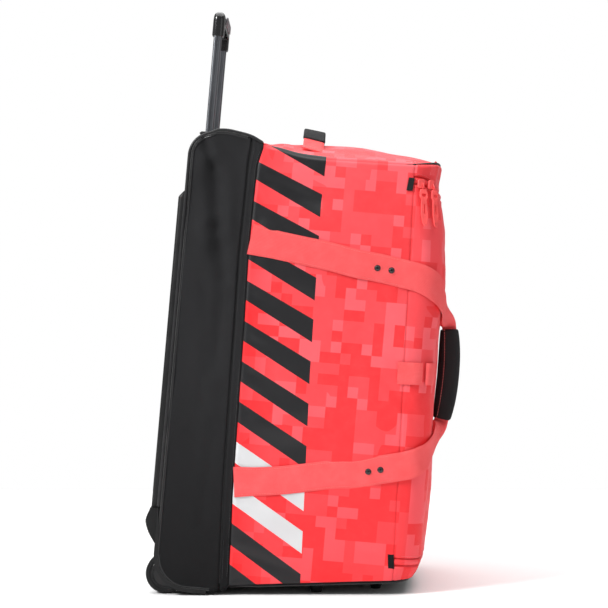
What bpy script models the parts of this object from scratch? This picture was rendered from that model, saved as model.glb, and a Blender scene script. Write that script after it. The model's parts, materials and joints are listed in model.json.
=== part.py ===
"""A wheeled travel bag that stands on its wheels and feet, leaning forward a little.

Lengths are in metres. The bag's own frame has u forward from the back face, y across and s up along the bag.
An empty carries that frame and leans it, so most pieces are modelled in u, y and s."""

import math

import bmesh
import bpy
import numpy as np
from mathutils import Matrix, Vector

# Driving sizes of the bag
LEAN = math.radians(5)
LENGTH = 0.820
DEPTH = 0.480
WIDTH = 0.400
BASE_DEPTH = 0.108
STRIP_WIDTH = 0.0200
CLOTH = 0.0025
GAP = 0.0003

# Form of the soft skin
SIDE_BULGE = 0.004
FRONT_DOME = 0.014
DOME_STATION = 0.55
FRONT_RADIUS = 0.048
BACK_EDGE = 0.006
TOP_CORNER = 0.042
BOTTOM_CORNER = 0.062
END_ROUND = 0.008

# Main zip
ZIP_BAND = 0.012
ZIP_TOP = 0.9283 * LENGTH
ZIP_BOTTOM = 0.0963 * LENGTH
ZIP_BACK = 0.854 * DEPTH

# Wheels and their housings
WHEEL_RADIUS = 0.0355
WHEEL_WIDTH = 0.032
WHEEL_U = 0.022
WHEEL_S = 0.026
WHEEL_Y = 0.4125 * WIDTH
TYRE_DEPTH = 0.0095
WHEEL_ROOM = 0.003
AXLE_RADIUS = 0.004
CHEEK = 0.0155
FLANGE_RIM = 0.009
FLANGE_TOP = 0.145
FLANGE_END = BASE_DEPTH - 0.011
FLANGE_PROUD = 0.0015
BUMPER_OUT = 0.0209
BUMPER_WIDTH = 0.036

# Rails
RAIL_OUT = 0.0145
RAIL_WIDTH = 0.022
RAIL_Y = 0.3875 * WIDTH
RAIL_LOW = 0.189 * LENGTH
RAIL_HIGH = 0.8634 * LENGTH
PIPING = 0.0025
PIPING_INSET = 0.0004

# Telescoping handle
TUBE_DEEP = 0.014
TUBE_WIDE = 0.022
TUBE_WALL = 0.0015
TUBE_U = 0.0265
TUBE_Y = 0.095
TUBE_SOCKET = 0.016
SLEEVE_PLAY = 0.0005
SLEEVE_WALL = 0.002
BRACKET_HIGH = 0.014
BEZEL_MARGIN = 0.008
BEZEL_HIGH = 0.0195
BEZEL_TOP = 0.9957 * LENGTH
GRIP_LOW = BEZEL_TOP + 0.1745
TUBE_LOW = BEZEL_TOP - 0.1565
SLEEVE_LOW = BEZEL_TOP - 0.3565
GRIP_LEG = 0.025
GRIP_BAR = 0.020
GRIP_DEEP = 0.021
GRIP_OVER = 0.012
GRIP_ROUND = 0.013
PAD_THICK = 0.003

# Webbing
STRAP = 0.050
STRAP_THICK = 0.0025
FOLDED = 0.026
FOLDED_THICK = 0.005
SEAT = 0.0005
GRIP_LENGTH = 0.168
GRIP_ACROSS = 0.0445
GRIP_TAPER = 0.18
GRIP_THROUGH = 0.039
RIVET = 0.009
RIVET_HIGH = 0.0028
HANDLE_U = 0.456 * DEPTH
HANDLE_WEB = 0.038
HANDLE_RISE = 0.0245
HANDLE_REACH = 0.84 * WIDTH
HANDLE_SEAT = 0.0014
WRAP_LENGTH = 0.120
WRAP_WALL = 0.002
TAB_HIGH = 0.039
TAB_THICK = 0.0018

# Zip fittings and feet
SLIDER = (0.010, 0.0035, 0.009)
PULLER = (0.0125, 0.0028, 0.066)
PULLER_SLOT = (0.0055, 0.018)

# Where the two sliders sit: depth share, how far the slider and then its puller stand off
FITTING_ROWS = ((0.872, -0.0007, 0.0012), (0.905, 0.0012, 0.0024))
END_TAB = (0.010, 0.002, 0.023)
END_TAB_SLANT = 0.002
TAB_NEAR = 0.0002

STRIP_FRONT = BASE_DEPTH + GAP + STRIP_WIDTH
STRIP_MIDDLE = BASE_DEPTH + STRIP_WIDTH / 2
HALF = WIDTH / 2
FAR = 2.0

# The side panel's ends: depth share, top seam share of the length, share of the length that the end domes
END_ROWS = (
    (0.000, 0.9900, 0.0040),
    (0.083, 0.9957, 0.0060),
    (0.130, 0.9982, 0.0073),
    (0.173, 0.9951, 0.0073),
    (0.225, 0.9890, 0.0080),
    (0.267, 0.9780, 0.0150),
    (0.325, 0.9652, 0.0260),
    (0.400, 0.9560, 0.0390),
    (0.500, 0.9525, 0.0460),
    (0.573, 0.9530, 0.0463),
    (0.708, 0.9549, 0.0402),
    (0.833, 0.9579, 0.0317),
    (0.946, 0.9598, 0.0213),
    (1.020, 0.9598, 0.0122),
)

# The bottom end: depth share, share of the length that it rises
FOOT_ROWS = ((0.205, 0.0), (0.267, 0.0159), (1.020, 0.0666))

# The feet: depth share, place across as a share of the width, width at the top and at the floor
FOOT_STATIONS = ((0.6025, 0.3925, 0.026, 0.018), (0.8254, 0.2850, 0.030, 0.016))

# The front's depth along the bag: share of the way up, share of the depth
FRONT_ROWS = (
    (0.000, 0.979),
    (0.014, 0.988),
    (0.038, 1.002),
    (0.094, 1.010),
    (0.183, 1.015),
    (0.396, 0.998),
    (0.532, 0.997),
    (0.618, 0.995),
    (0.683, 1.002),
    (0.813, 0.988),
    (0.909, 0.971),
    (0.947, 0.955),
    (0.965, 0.945),
    (0.984, 0.950),
    (1.000, 0.951),
)

# Rows of the skin's mesh, as shares of the way up
SKIN_ROWS = (0.030, 0.076, 0.15, 0.24, 0.33, 0.42, 0.52, 0.62, 0.71, 0.80, 0.88, 0.925, 0.947, 0.965, 0.984)

# Soft dents in the side panels: depth share, length share, slant in degrees, half length and half width as shares of
# the length, depth of the dent as a share of the width
FOLD_ROWS = (
    (0.10, 0.90, 62, 0.110, 0.030, 0.0110),
    (0.13, 0.72, 84, 0.120, 0.026, 0.0090),
    (0.11, 0.33, 96, 0.160, 0.028, 0.0070),
    (0.46, 0.86, 20, 0.110, 0.040, 0.0090),
    (0.66, 0.52, 75, 0.130, 0.045, 0.0085),
    (0.52, 0.15, 12, 0.140, 0.035, 0.0080),
)

# Where the carry strap lies on the side: share of the soft body's depth, length share
STRAP_SIDE_UPPER = ((0.0092, 0.7646), (0.1811, 0.7540), (0.3804, 0.7427), (0.5087, 0.7330), (0.6179, 0.7280),
                    (0.7134, 0.7222))
STRAP_SIDE_LOWER = ((0.0092, 0.2439), (0.2303, 0.2561), (0.4814, 0.2780), (0.6042, 0.2841), (0.7134, 0.2965))

# Where it rounds the front corner: degrees, length share, how far it stands off, share of the way to its folded form
STRAP_CORNER_UPPER = ((10, 0.7115, 0.001, 0.0), (42, 0.6930, 0.002, 0.1), (78, 0.6670, 0.003, 0.3))
STRAP_CORNER_LOWER = ((10, 0.3130, 0.001, 0.0), (42, 0.3290, 0.002, 0.1), (78, 0.3500, 0.003, 0.3))

# Where it runs free to the grip: depth share, half width share, length share, lean in degrees, folded share
STRAP_FREE_UPPER = ((1.000, 0.420, 0.6440, 55, 0.6), (1.026, 0.140, 0.6270, 25, 0.9))
STRAP_FREE_LOWER = ((1.008, 0.420, 0.3690, 55, 0.6), (1.028, 0.140, 0.3850, 25, 0.9))
GRIP_MIDDLE = (1.0495, 0.5060)
GRIP_BOW = 0.0055
RIVET_ROWS = ((0.6220, 0.7268), (0.6929, 0.7244), (0.6643, 0.2915), (0.7243, 0.2976))

BLACK = (0.018, 0.018, 0.021)
RED = (0.80, 0.055, 0.06)
CORAL = (0.90, 0.13, 0.13)
GREY = (0.20, 0.20, 0.22)


def clear_scene():
    for thing in list(bpy.data.objects):
        bpy.data.objects.remove(thing)


def material(name, colour, roughness, metallic=0.0):
    made = bpy.data.materials.new(name)
    made.use_nodes = True
    shader = made.node_tree.nodes["Principled BSDF"]
    shader.inputs["Base Color"].default_value = (*colour, 1)
    shader.inputs["Roughness"].default_value = roughness
    shader.inputs["Metallic"].default_value = metallic
    return made


def empty(name, parent=None, location=(0, 0, 0), turn=0.0):
    made = bpy.data.objects.new(name, None)
    bpy.context.collection.objects.link(made)
    made.parent = parent
    made.location = location
    made.rotation_euler = (0, turn, 0)
    return made


def add(name, form, look, parent, location=(0, 0, 0)):
    """Adds one object from a bmesh, with its own material."""
    bmesh.ops.recalc_face_normals(form, faces=form.faces)
    mesh = bpy.data.meshes.new(name)
    form.to_mesh(mesh)
    form.free()
    mesh.shade_smooth()
    mesh.set_sharp_from_angle(angle=math.radians(32))
    made = bpy.data.objects.new(name, mesh)
    bpy.context.collection.objects.link(made)
    made.parent = parent
    made.location = location
    if look:
        made.data.materials.append(material(name, *look))
    return made


def loft(rings, closed=False):
    """Bridges rings of points into one closed form, with flat caps unless the rings run round to the first."""
    form = bmesh.new()
    rows = [[form.verts.new(point) for point in ring] for ring in rings]
    count = len(rows[0])
    pairs = list(zip(rows, rows[1:])) + ([(rows[-1], rows[0])] if closed else [])
    for low, high in pairs:
        for i in range(count):
            j = (i + 1) % count
            form.faces.new((low[i], low[j], high[j], high[i]))
    if not closed:
        form.faces.new(rows[0])
        form.faces.new(rows[-1])
    return form


def prism(outline, low, high, along="y"):
    """Extrudes a flat outline along y, or along u or s, from low to high."""
    place = {
        "y": lambda a, b, c: (a, c, b),
        "s": lambda a, b, c: (a, b, c),
        "u": lambda a, b, c: (c, a, b),
    }[along]
    return loft([[place(a, b, level) for a, b in outline] for level in (low, high)])


def rounded(corners, steps=4):
    """Turns corners (a, b, radius) into an outline of lines and arcs."""
    outline = []
    for i, (a, b, radius) in enumerate(corners):
        here = Vector((a, b))
        if radius <= 0:
            outline.append((a, b))
            continue
        back = (Vector(corners[i - 1][:2]) - here).normalized()
        ahead = (Vector(corners[(i + 1) % len(corners)][:2]) - here).normalized()
        half = back.angle(ahead) / 2
        middle = here + (back + ahead).normalized() * radius / math.sin(half)
        first = here + back * radius / math.tan(half) - middle
        last = here + ahead * radius / math.tan(half) - middle
        for step in range(steps + 1):
            t = step / steps
            spoke = Matrix.Rotation(-first.angle_signed(last) * t, 2) @ first
            outline.append(tuple(middle + spoke))
    return outline


def rectangle(wide, high, radius, middle=(0, 0), steps=2):
    a, b = middle
    corners = [(a + i * wide / 2, b + j * high / 2, radius) for i, j in ((-1, -1), (1, -1), (1, 1), (-1, 1))]
    return rounded(corners, steps)


def box(low, high):
    """A box between two corners."""
    (a, b, c), (d, e, f) = low, high
    return prism([(a, b), (d, b), (d, e), (a, e)], c, f, "s")


def turned(profile, sides):
    """Turns a profile of (radius, y) pairs about the y axis into a ring."""
    rings = []
    for i in range(sides):
        angle = 2 * math.pi * i / sides
        rings.append([(radius * math.cos(angle), y, radius * math.sin(angle)) for radius, y in profile])
    return loft(rings, closed=True)


def cylinder(radius, low, high, sides=24, middle=(0, 0)):
    a, b = middle
    angles = [2 * math.pi * i / sides for i in range(sides)]
    return prism([(a + radius * math.cos(t), b + radius * math.sin(t)) for t in angles], low, high)


def cut(target, form, name, operation="DIFFERENCE"):
    """Cuts target with a hidden form in the same frame."""
    cutter = add(name, form, None, target.parent, target.location)
    cutter.hide_render = True
    cutter.display_type = "WIRE"
    modifier = target.modifiers.new(name, "BOOLEAN")
    modifier.operation = operation
    modifier.solver = "EXACT"
    modifier.object = cutter


def smooth_rows(rows, steps):
    """Reads a smooth curve through rows of numbers, with some steps to each stretch."""
    table = np.array(rows, dtype=float)
    padded = np.vstack([2 * table[0] - table[1], table, 2 * table[-1] - table[-2]])
    made = []
    for i in range(1, len(padded) - 2):
        a, b, c, d = padded[i - 1:i + 3]
        for step in range(steps):
            t = step / steps
            made.append(0.5 * (2 * b + (c - a) * t + (2 * a - 5 * b + 4 * c - d) * t**2
                               + (3 * b - a - 3 * c + d) * t**3))
    made.append(table[-1])
    return made


# Form of the soft skin

def column(rows, share, which):
    table = np.array(rows)
    return float(np.interp(share, table[:, 0], table[:, which]))


def bottom(u):
    return LENGTH * column(FOOT_ROWS, u / DEPTH, 1)


def top(u, y=HALF):
    """The top end's height: a seam at the sides, domed between them."""
    dome = LENGTH * column(END_ROWS, u / DEPTH, 2)
    return LENGTH * column(END_ROWS, u / DEPTH, 1) + dome * max(0.0, 1 - (y / HALF) ** 2)


def way_up(u, s):
    return (s - bottom(u)) / (top(u) - bottom(u))


def front(w):
    """The front panel's depth where it leaves the rounded corners."""
    return DEPTH * column(FRONT_ROWS, w, 1) - FRONT_DOME


def back(w):
    """The back face's depth: zero, but for the round corners at both ends."""
    s = w * LENGTH
    deep = 0.0
    for reach, radius in ((s, BOTTOM_CORNER), (LENGTH * END_ROWS[0][1] - s, TOP_CORNER)):
        if reach < radius:
            deep = radius - math.sqrt(max(0.0, radius**2 - (radius - max(reach, 0)) ** 2))
    return deep


def half_width(u, w):
    """Half the bag's width, which swells a little in the middle of the soft body."""
    ramp = float(np.interp(u, (STRIP_MIDDLE, 0.625 * DEPTH), (0, 1)))
    return HALF + SIDE_BULGE * ramp * max(0.0, math.sin(math.pi * min(max(w, 0), 1))) ** 0.35


def side_at(u, s):
    return half_width(u, way_up(u, s))


def fold(u, s):
    """How far the side panel is dented in."""
    deep = 0.0
    for du, ds, slant, long, wide, depth in FOLD_ROWS:
        across, up = u - du * DEPTH, s - ds * LENGTH
        turn = math.radians(slant)
        along = across * math.cos(turn) + up * math.sin(turn)
        over = up * math.cos(turn) - across * math.sin(turn)
        deep += WIDTH * depth * math.exp(-(along / (long * LENGTH)) ** 2 - (over / (wide * LENGTH)) ** 2)
    return deep


def skin_ring(w, inset=0.0, shrink=1.0):
    """One ring of the skin, at the share w of the way up."""
    deep, reach = back(w), front(w) - inset
    stations = [deep + share * (STRIP_MIDDLE - deep) for share in (0.30, 0.60, 1.0)]
    stations += [share * DEPTH for share in (0.35, 0.45, 0.54, 0.625, 0.72)]
    corner_u = reach - FRONT_RADIUS
    points = []

    def side(u):
        room = min(1.0, w / 0.1, (1 - w) / 0.1)
        return half_width(u, w) - inset - room * fold(u, bottom(u) + w * (top(u) - bottom(u)))

    points.append((deep, DOME_STATION * HALF))
    points.append((deep, side(0) - BACK_EDGE))
    points.append((deep + BACK_EDGE, side(0)))
    points += [(u, side(u)) for u in stations]
    middle = side(corner_u) - FRONT_RADIUS
    for step in range(5):
        angle = math.radians(90 * step / 4)
        points.append((corner_u + FRONT_RADIUS * math.sin(angle), middle + FRONT_RADIUS * math.cos(angle)))
    points.append((reach + FRONT_DOME * (1 - DOME_STATION**2), middle * DOME_STATION))
    whole = points + [(reach + FRONT_DOME, 0)] + [(u, -y) for u, y in reversed(points)] + [(deep, 0)]
    centre_u = (deep + reach) / 2
    ring = []
    for u, y in whole:
        u, y = centre_u + (u - centre_u) * shrink, y * shrink
        low = bottom(u)
        domed = top(u, y) - top(u)
        ring.append((u, y, low + w * (top(u) - low) + domed * w**6))
    return ring


def skin():
    """The bag's whole skin as one closed surface: end panel, rows up the sides, end panel."""
    turn = END_ROUND * (1 - math.sqrt(0.5))
    rings = [skin_ring(0, END_ROUND, 0.6), skin_ring(0, END_ROUND), skin_ring(turn / LENGTH, turn)]
    rings.append(skin_ring(END_ROUND / LENGTH))
    rings += [skin_ring(w) for w in SKIN_ROWS]
    rings += [skin_ring(1 - turn / LENGTH, turn), skin_ring(1, END_ROUND)]
    rings += [skin_ring(1, END_ROUND, shrink) for shrink in (0.84, 0.55, 0.2)]
    form = loft(rings)
    # Cells with four corners aren't flat, and cuts through them go wrong at some sizes
    bmesh.ops.triangulate(form, faces=form.faces)
    return form


def skin_piece(name, look, parent, cuts):
    """A wall of the bag: the skin given its thickness, then cut to this piece's part of it."""
    made = add(name, skin(), look, parent)
    wall = made.modifiers.new("wall", "SOLIDIFY")
    wall.thickness = CLOTH
    wall.offset = -1
    wall.use_even_offset = True
    for number, (form, operation) in enumerate(cuts):
        cut(made, form, f"{name}_cut_{number}", operation)
    return made


def slab(low, high):
    return box((low, -FAR, -FAR), (high, FAR, FAR))


def zip_opening(grow=0.0):
    """The room in the front that the zip and the flap fill."""
    return box((ZIP_BACK - grow, -FAR, ZIP_BOTTOM - grow), (FAR, FAR, ZIP_TOP + grow))


def flap_room(grow, hinge):
    """The flap's room: beyond the zip band, but right up to the hinge seam on the near side."""
    far_u = ZIP_BACK + ZIP_BAND - grow
    outline = [(hinge, -FAR), (FAR, -FAR), (FAR, FAR), (far_u, FAR), (far_u, 0), (hinge, 0)]
    return prism(outline, ZIP_BOTTOM + ZIP_BAND - grow, ZIP_TOP - ZIP_BAND + grow, "s")


def soft_body(frame):
    red = (RED, 0.75)
    skin_piece("upper_shell", red, frame, (
        (slab(STRIP_FRONT + GAP, FAR), "INTERSECT"),
        (zip_opening(), "DIFFERENCE"),
    ))
    skin_piece("front_flap", red, frame, ((flap_room(-2 * GAP, ZIP_BACK + GAP), "INTERSECT"),))
    skin_piece("main_zip", red, frame, (
        (zip_opening(-GAP), "INTERSECT"),
        (flap_room(-GAP, ZIP_BACK - ZIP_BAND), "DIFFERENCE"),
    ))
    skin_piece("base_zip_strip", (BLACK, 0.7), frame, ((slab(BASE_DEPTH + GAP, STRIP_FRONT), "INTERSECT"),))


# Base compartment

def flange(outer, more=0.0):
    """The housing's crescent along the base's corner, from its pointed top end to its step."""
    radius = BOTTOM_CORNER
    rim = FLANGE_RIM + more
    corners = [
        (-outer, FLANGE_TOP + more, 0),
        (-outer, -outer, radius + outer),
        (FLANGE_END + more, -outer, 0),
        (FLANGE_END + more, 0.6 * rim, 0),
        (rim, rim, radius - rim),
        (0.4 * rim + more, 0.82 * FLANGE_TOP, 0),
        (0.05 * rim + more, FLANGE_TOP + more, 0),
    ]
    return rounded(corners, 6)


def mirrored(outline_low, outline_high, side):
    """The span across the bag on one side, in rising order."""
    return sorted((side * outline_low, side * outline_high))


def base(frame):
    shell = skin_piece("base_shell", (BLACK, 0.7), frame, ((slab(-FAR, BASE_DEPTH), "INTERSECT"),))
    inner = WHEEL_Y - WHEEL_WIDTH / 2 - WHEEL_ROOM - CHEEK
    for side in (-1, 1):
        low, high = mirrored(inner - GAP, FAR, side)
        cut(shell, prism(flange(0.02, GAP), low, high), f"corner_cut_{side + 2}")
    bezel = rectangle(TUBE_DEEP + 2 * BEZEL_MARGIN + 2 * GAP, 2 * TUBE_Y + TUBE_WIDE + 2 * BEZEL_MARGIN + 2 * GAP,
                      BEZEL_MARGIN, (TUBE_U, 0))
    cut(shell, prism(bezel, BEZEL_TOP - 2 * BEZEL_HIGH, FAR, "s"), "bezel_cut")


def piping(frame, side, name):
    """Round piping in the edge between the side panel and the back, from the rim over the top to the flange."""
    path = [(0.98 * BASE_DEPTH, top(0.98 * BASE_DEPTH))]
    path += [(share * BASE_DEPTH, top(share * BASE_DEPTH)) for share in (0.8, 0.6, 0.45)]
    high = LENGTH * END_ROWS[0][1]
    for degrees in (75, 58, 40, 22, 5):
        angle = math.radians(degrees)
        path.append((TOP_CORNER * (1 - math.cos(angle)), high - TOP_CORNER * (1 - math.sin(angle))))
    path += [(0, share * LENGTH) for share in (0.86, 0.72, 0.58, 0.44, 0.30)] + [(0, FLANGE_TOP + 0.004)]
    rings = []
    for i, (u, s) in enumerate(path):
        before, after = path[max(i - 1, 0)], path[min(i + 1, len(path) - 1)]
        along = Vector((after[0] - before[0], 0, after[1] - before[1])).normalized()
        outward = Vector((0, 1, 0)).cross(along)
        middle = Vector((u, side * (HALF - PIPING_INSET), s)) - outward * PIPING_INSET
        rings.append([middle + PIPING * (math.cos(t) * outward + math.sin(t) * Vector((0, 1, 0)))
                      for t in (math.pi * k / 3 for k in range(6))])
    add(name, loft(rings), (BLACK, 0.6), frame)


def rail(frame, side, name):
    """A skid rail with a slanted top end."""
    outline = [(-GAP, RAIL_LOW), (-RAIL_OUT, RAIL_LOW), (-RAIL_OUT, RAIL_HIGH - RAIL_OUT), (-GAP, RAIL_HIGH)]
    low, high = mirrored(RAIL_Y - RAIL_WIDTH / 2, RAIL_Y + RAIL_WIDTH / 2, side)
    made = add(name, prism(outline, low, high), (BLACK, 0.45), frame)
    bevel = made.modifiers.new("edges", "BEVEL")
    bevel.width = 0.002
    bevel.segments = 1


def housing(frame, side, name):
    """The corner moulding: flange, block round the wheel's well, and bumper, in one piece."""
    look = (BLACK, 0.5)
    inner = WHEEL_Y - WHEEL_WIDTH / 2 - WHEEL_ROOM - CHEEK
    outer = HALF + FLANGE_PROUD
    made = add(name, prism(flange(0.0005), *mirrored(inner, outer, side)), look, frame)
    deep = WHEEL_U + WHEEL_RADIUS + WHEEL_ROOM + 0.008
    high = WHEEL_S + WHEEL_RADIUS + WHEEL_ROOM + 0.008
    block = rounded([(0.0004, high, 0), (0.0004, 0.0004, BOTTOM_CORNER - 0.001), (deep, 0.0004, 0),
                     (deep, 0.6 * high, 0), (0.6 * deep, high, 0)], 6)
    cut(made, prism(block, *mirrored(inner, HALF - CLOTH - SEAT - fold_room(), side)), f"{name}_block", "UNION")
    bumper = [(0.0002, 0.96 * FLANGE_TOP), (-0.7 * BUMPER_OUT, 0.96 * FLANGE_TOP), (-BUMPER_OUT, 0.82 * FLANGE_TOP),
              (-0.91 * BUMPER_OUT, 0.745 * FLANGE_TOP), (-0.65 * BUMPER_OUT, 0.66 * FLANGE_TOP),
              (-0.14 * BUMPER_OUT, 0.55 * FLANGE_TOP), (0.0002, 0.52 * FLANGE_TOP)]
    low, high = mirrored(WHEEL_Y - BUMPER_WIDTH / 2, WHEEL_Y + BUMPER_WIDTH / 2, side)
    cut(made, prism(bumper, low, high), f"{name}_bumper", "UNION")
    room = WHEEL_WIDTH / 2 + WHEEL_ROOM
    low, high = mirrored(WHEEL_Y - room, WHEEL_Y + room, side)
    well = cylinder(WHEEL_RADIUS + WHEEL_ROOM, low, high, 32, (WHEEL_U, WHEEL_S))
    cut(made, well, f"{name}_well")
    low, high = axle_span(side, GAP)
    cut(made, cylinder(AXLE_RADIUS + GAP, low, high, 16, (WHEEL_U, WHEEL_S)), f"{name}_bore")


def fold_room():
    """Room that the dents in the side panel take behind it."""
    return 0.010 * WIDTH


def axle_span(side, more=0.0):
    reach = WHEEL_WIDTH / 2 + WHEEL_ROOM + 0.007 + more
    return mirrored(WHEEL_Y - reach, WHEEL_Y + reach, side)


def wheel(frame, side, word):
    axis = empty(f"wheel_axis_{word}", frame, (WHEEL_U, side * WHEEL_Y, WHEEL_S))
    half = WHEEL_WIDTH / 2
    rim = WHEEL_RADIUS - TYRE_DEPTH
    round_off = 0.006
    tyre = [(rim, -half + 0.001), (WHEEL_RADIUS - round_off, -half), (WHEEL_RADIUS, -half + round_off),
            (WHEEL_RADIUS, half - round_off), (WHEEL_RADIUS - round_off, half), (rim, half - 0.001)]
    hole = AXLE_RADIUS + GAP
    hub = [(hole, -half - 0.001), (0.009, -half - 0.001), (0.011, -half + 0.004), (rim - 0.003, -half + 0.004),
           (rim - GAP, -half + 0.001), (rim - GAP, half - 0.001), (rim - 0.003, half - 0.004), (0.011, half - 0.004),
           (0.009, half + 0.001), (hole, half + 0.001)]
    add(f"tyre_{word}", turned(tyre, 28), (BLACK, 0.8), axis)
    add(f"hub_{word}", turned(hub, 14), (GREY, 0.5), axis)
    low, high = axle_span(side)
    add(f"axle_{word}", cylinder(AXLE_RADIUS, low, high, 16, (WHEEL_U, WHEEL_S)), (GREY, 0.3, 1.0), frame)


# Telescoping handle

def tube_outline(more, y):
    return rectangle(TUBE_DEEP + 2 * more, TUBE_WIDE + 2 * more, 0.004 + max(more, -0.003), (TUBE_U, y), 2)


def pipe(more_out, more_in, y, low, high):
    """A tube with a bore, both following the handle tube's section."""
    outside, inside = tube_outline(more_out, y), tube_outline(more_in, y)
    rings = [[(a, b, s) for a, b in outline] for outline, s in
             ((outside, low), (outside, high), (inside, high), (inside, low))]
    return loft(rings, closed=True)


def pull_handle(frame):
    slide = empty("handle_slide_axis", frame, (TUBE_U, 0, TUBE_LOW))
    place = Vector((-TUBE_U, 0, -TUBE_LOW))
    socket = GRIP_LOW + TUBE_SOCKET
    for side, word in ((-1, "left"), (1, "right")):
        form = pipe(0, -TUBE_WALL, side * TUBE_Y, TUBE_LOW, socket - GAP)
        add(f"pull_tube_{word}", form, (GREY, 0.35, 1.0), slide, place)
    reach = TUBE_Y + GRIP_OVER
    high = GRIP_LOW + GRIP_LEG + GRIP_BAR
    inside = reach - GRIP_LEG
    corners = [(-reach, GRIP_LOW, 0.002), (-inside, GRIP_LOW, 0.002), (-inside, high - GRIP_BAR, 0.006),
               (inside, high - GRIP_BAR, 0.006), (inside, GRIP_LOW, 0.002), (reach, GRIP_LOW, 0.002),
               (reach, high, GRIP_ROUND), (-reach, high, GRIP_ROUND)]
    grip = add("pull_grip", prism(rounded(corners, 3), TUBE_U - GRIP_DEEP / 2, TUBE_U + GRIP_DEEP / 2, "u"),
               (BLACK, 0.18), slide, place)
    bevel = grip.modifiers.new("edges", "BEVEL")
    bevel.width = 0.0025
    bevel.segments = 2
    bevel.limit_method = "ANGLE"
    for side in (-1, 1):
        form = prism(tube_outline(GAP, side * TUBE_Y), GRIP_LOW - 0.01, socket, "s")
        cut(grip, form, f"grip_socket_{side + 2}")
    face = TUBE_U + GRIP_DEEP / 2 + GAP
    pad = rectangle(1.3 * TUBE_Y, GRIP_BAR - 0.006, 0.004, (0, high - GRIP_BAR / 2), 3)
    add("grip_pad", prism(pad, face, face + PAD_THICK, "u"), (GREY, 0.6), slide, place)


def handle_mount(frame):
    out = SLEEVE_PLAY + SLEEVE_WALL
    bezel_low = BEZEL_TOP - BEZEL_HIGH
    for side, word in ((-1, "left"), (1, "right")):
        form = pipe(out, SLEEVE_PLAY, side * TUBE_Y, SLEEVE_LOW, bezel_low - GAP)
        add(f"tube_sleeve_{word}", form, (GREY, 0.4, 1.0), frame)
    deep, wide = TUBE_DEEP + 2 * BEZEL_MARGIN, 2 * TUBE_Y + TUBE_WIDE + 2 * BEZEL_MARGIN
    bezel = add("handle_bezel", prism(rectangle(deep, wide, BEZEL_MARGIN, (TUBE_U, 0)), bezel_low, BEZEL_TOP, "s"),
                (BLACK, 0.4), frame)
    for side in (-1, 1):
        form = prism(tube_outline(SLEEVE_PLAY, side * TUBE_Y), bezel_low - 0.01, BEZEL_TOP + 0.01, "s")
        cut(bezel, form, f"bezel_hole_{side + 2}")
    reach = TUBE_Y + TUBE_WIDE / 2 + out + 0.004
    back_u = CLOTH + SEAT
    low = SLEEVE_LOW - BRACKET_HIGH
    bar = box((back_u, -reach, low), (TUBE_U + TUBE_DEEP / 2 + out, reach, SLEEVE_LOW - GAP))
    add("handle_bracket", bar, (BLACK, 0.5), frame)


# Webbing

def ribbon(stations):
    """A webbing strip: each station has a middle, the direction across it, its width and its thickness."""
    rings = []
    count = len(stations)
    for i, (middle, across, wide, thick) in enumerate(stations):
        along = stations[min(i + 1, count - 1)][0] - stations[max(i - 1, 0)][0]
        face = along.cross(across).normalized()
        sideways = face.cross(along).normalized()
        half, deep = sideways * wide / 2, face * thick / 2
        rings.append([middle - half - deep, middle + half - deep, middle + half + deep, middle - half + deep])
    return rings


def sleeve(stations, room, outer, steps=3):
    """A soft tube round a strip: each station has a middle, its two cross directions and its share of full size."""
    inside, outside = [], []
    (room_a, room_b), (out_a, out_b) = room, outer
    inner_outline = rectangle(room_a, room_b, 2 * GAP, steps=steps)
    outer_outline = rectangle(out_a, out_b, 0.45 * min(outer), steps=steps)
    for middle, first, second, full in stations:
        inside.append([middle + a * first + b * second for a, b in inner_outline])
        outside.append([middle + full * (a * first + b * second) for a, b in outer_outline])
    return loft(outside + inside[::-1], closed=True)


def grip_line(t):
    """The carry grip's middle line, from its lower end to its upper end as t runs from -1 to 1."""
    u = GRIP_MIDDLE[0] * DEPTH - GRIP_BOW * t * t
    return Vector((u, 0, GRIP_MIDDLE[1] * LENGTH + t * GRIP_LENGTH / 2))


def body_depth(share):
    """A depth in the soft body, from the seam of the base's strip to the front."""
    return STRIP_FRONT + share * (DEPTH - STRIP_FRONT)


def strap_rows(side_rows, corner_rows, free_rows):
    """Rows of u, y, s, lean and folded share, from the seam round the corner to the grip."""
    lift = SEAT + STRAP_THICK / 2
    rows = []
    for share, length_share in side_rows:
        u, s = body_depth(share), length_share * LENGTH
        rows.append((u, side_at(u, s) + lift, s, 0, 0))
    for degrees, s, out, folded in corner_rows:
        (u, y), _ = corner_point(s * LENGTH, degrees, lift + out)
        rows.append((u, y, s * LENGTH, degrees, folded))
    rows += [(u * DEPTH, y * HALF, s * LENGTH, lean, folded) for u, y, s, lean, folded in free_rows]
    return rows


def strap_stations(side):
    folded_y = (FOLDED_THICK + GAP) / 2
    rows = strap_rows(STRAP_SIDE_UPPER, STRAP_CORNER_UPPER, STRAP_FREE_UPPER)
    for t in (1.04, 0.75, 0.4, 0, -0.4, -0.75, -1.04):
        point = grip_line(t)
        rows.append((point.x, folded_y, point.z, 0, 1.0))
    rows += strap_rows(STRAP_SIDE_LOWER, STRAP_CORNER_LOWER, STRAP_FREE_LOWER)[::-1]
    smooth = smooth_rows(rows, 2)
    points = [Vector((u, side * max(y, folded_y), s)) for u, y, s, lean, folded in smooth]
    made = []
    for i, (u, y, s, lean, folded) in enumerate(smooth):
        along = (points[min(i + 1, len(points) - 1)] - points[max(i - 1, 0)]).normalized()
        folded = min(max(folded, 0), 1)
        turn = math.radians(lean * (1 - folded**4))
        face = Vector((math.sin(turn), side * math.cos(turn), 0))
        wide = STRAP + (FOLDED - STRAP) * folded
        thick = STRAP_THICK + (FOLDED_THICK - STRAP_THICK) * folded
        made.append((points[i], face.cross(along), wide, thick))
    return made


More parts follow.
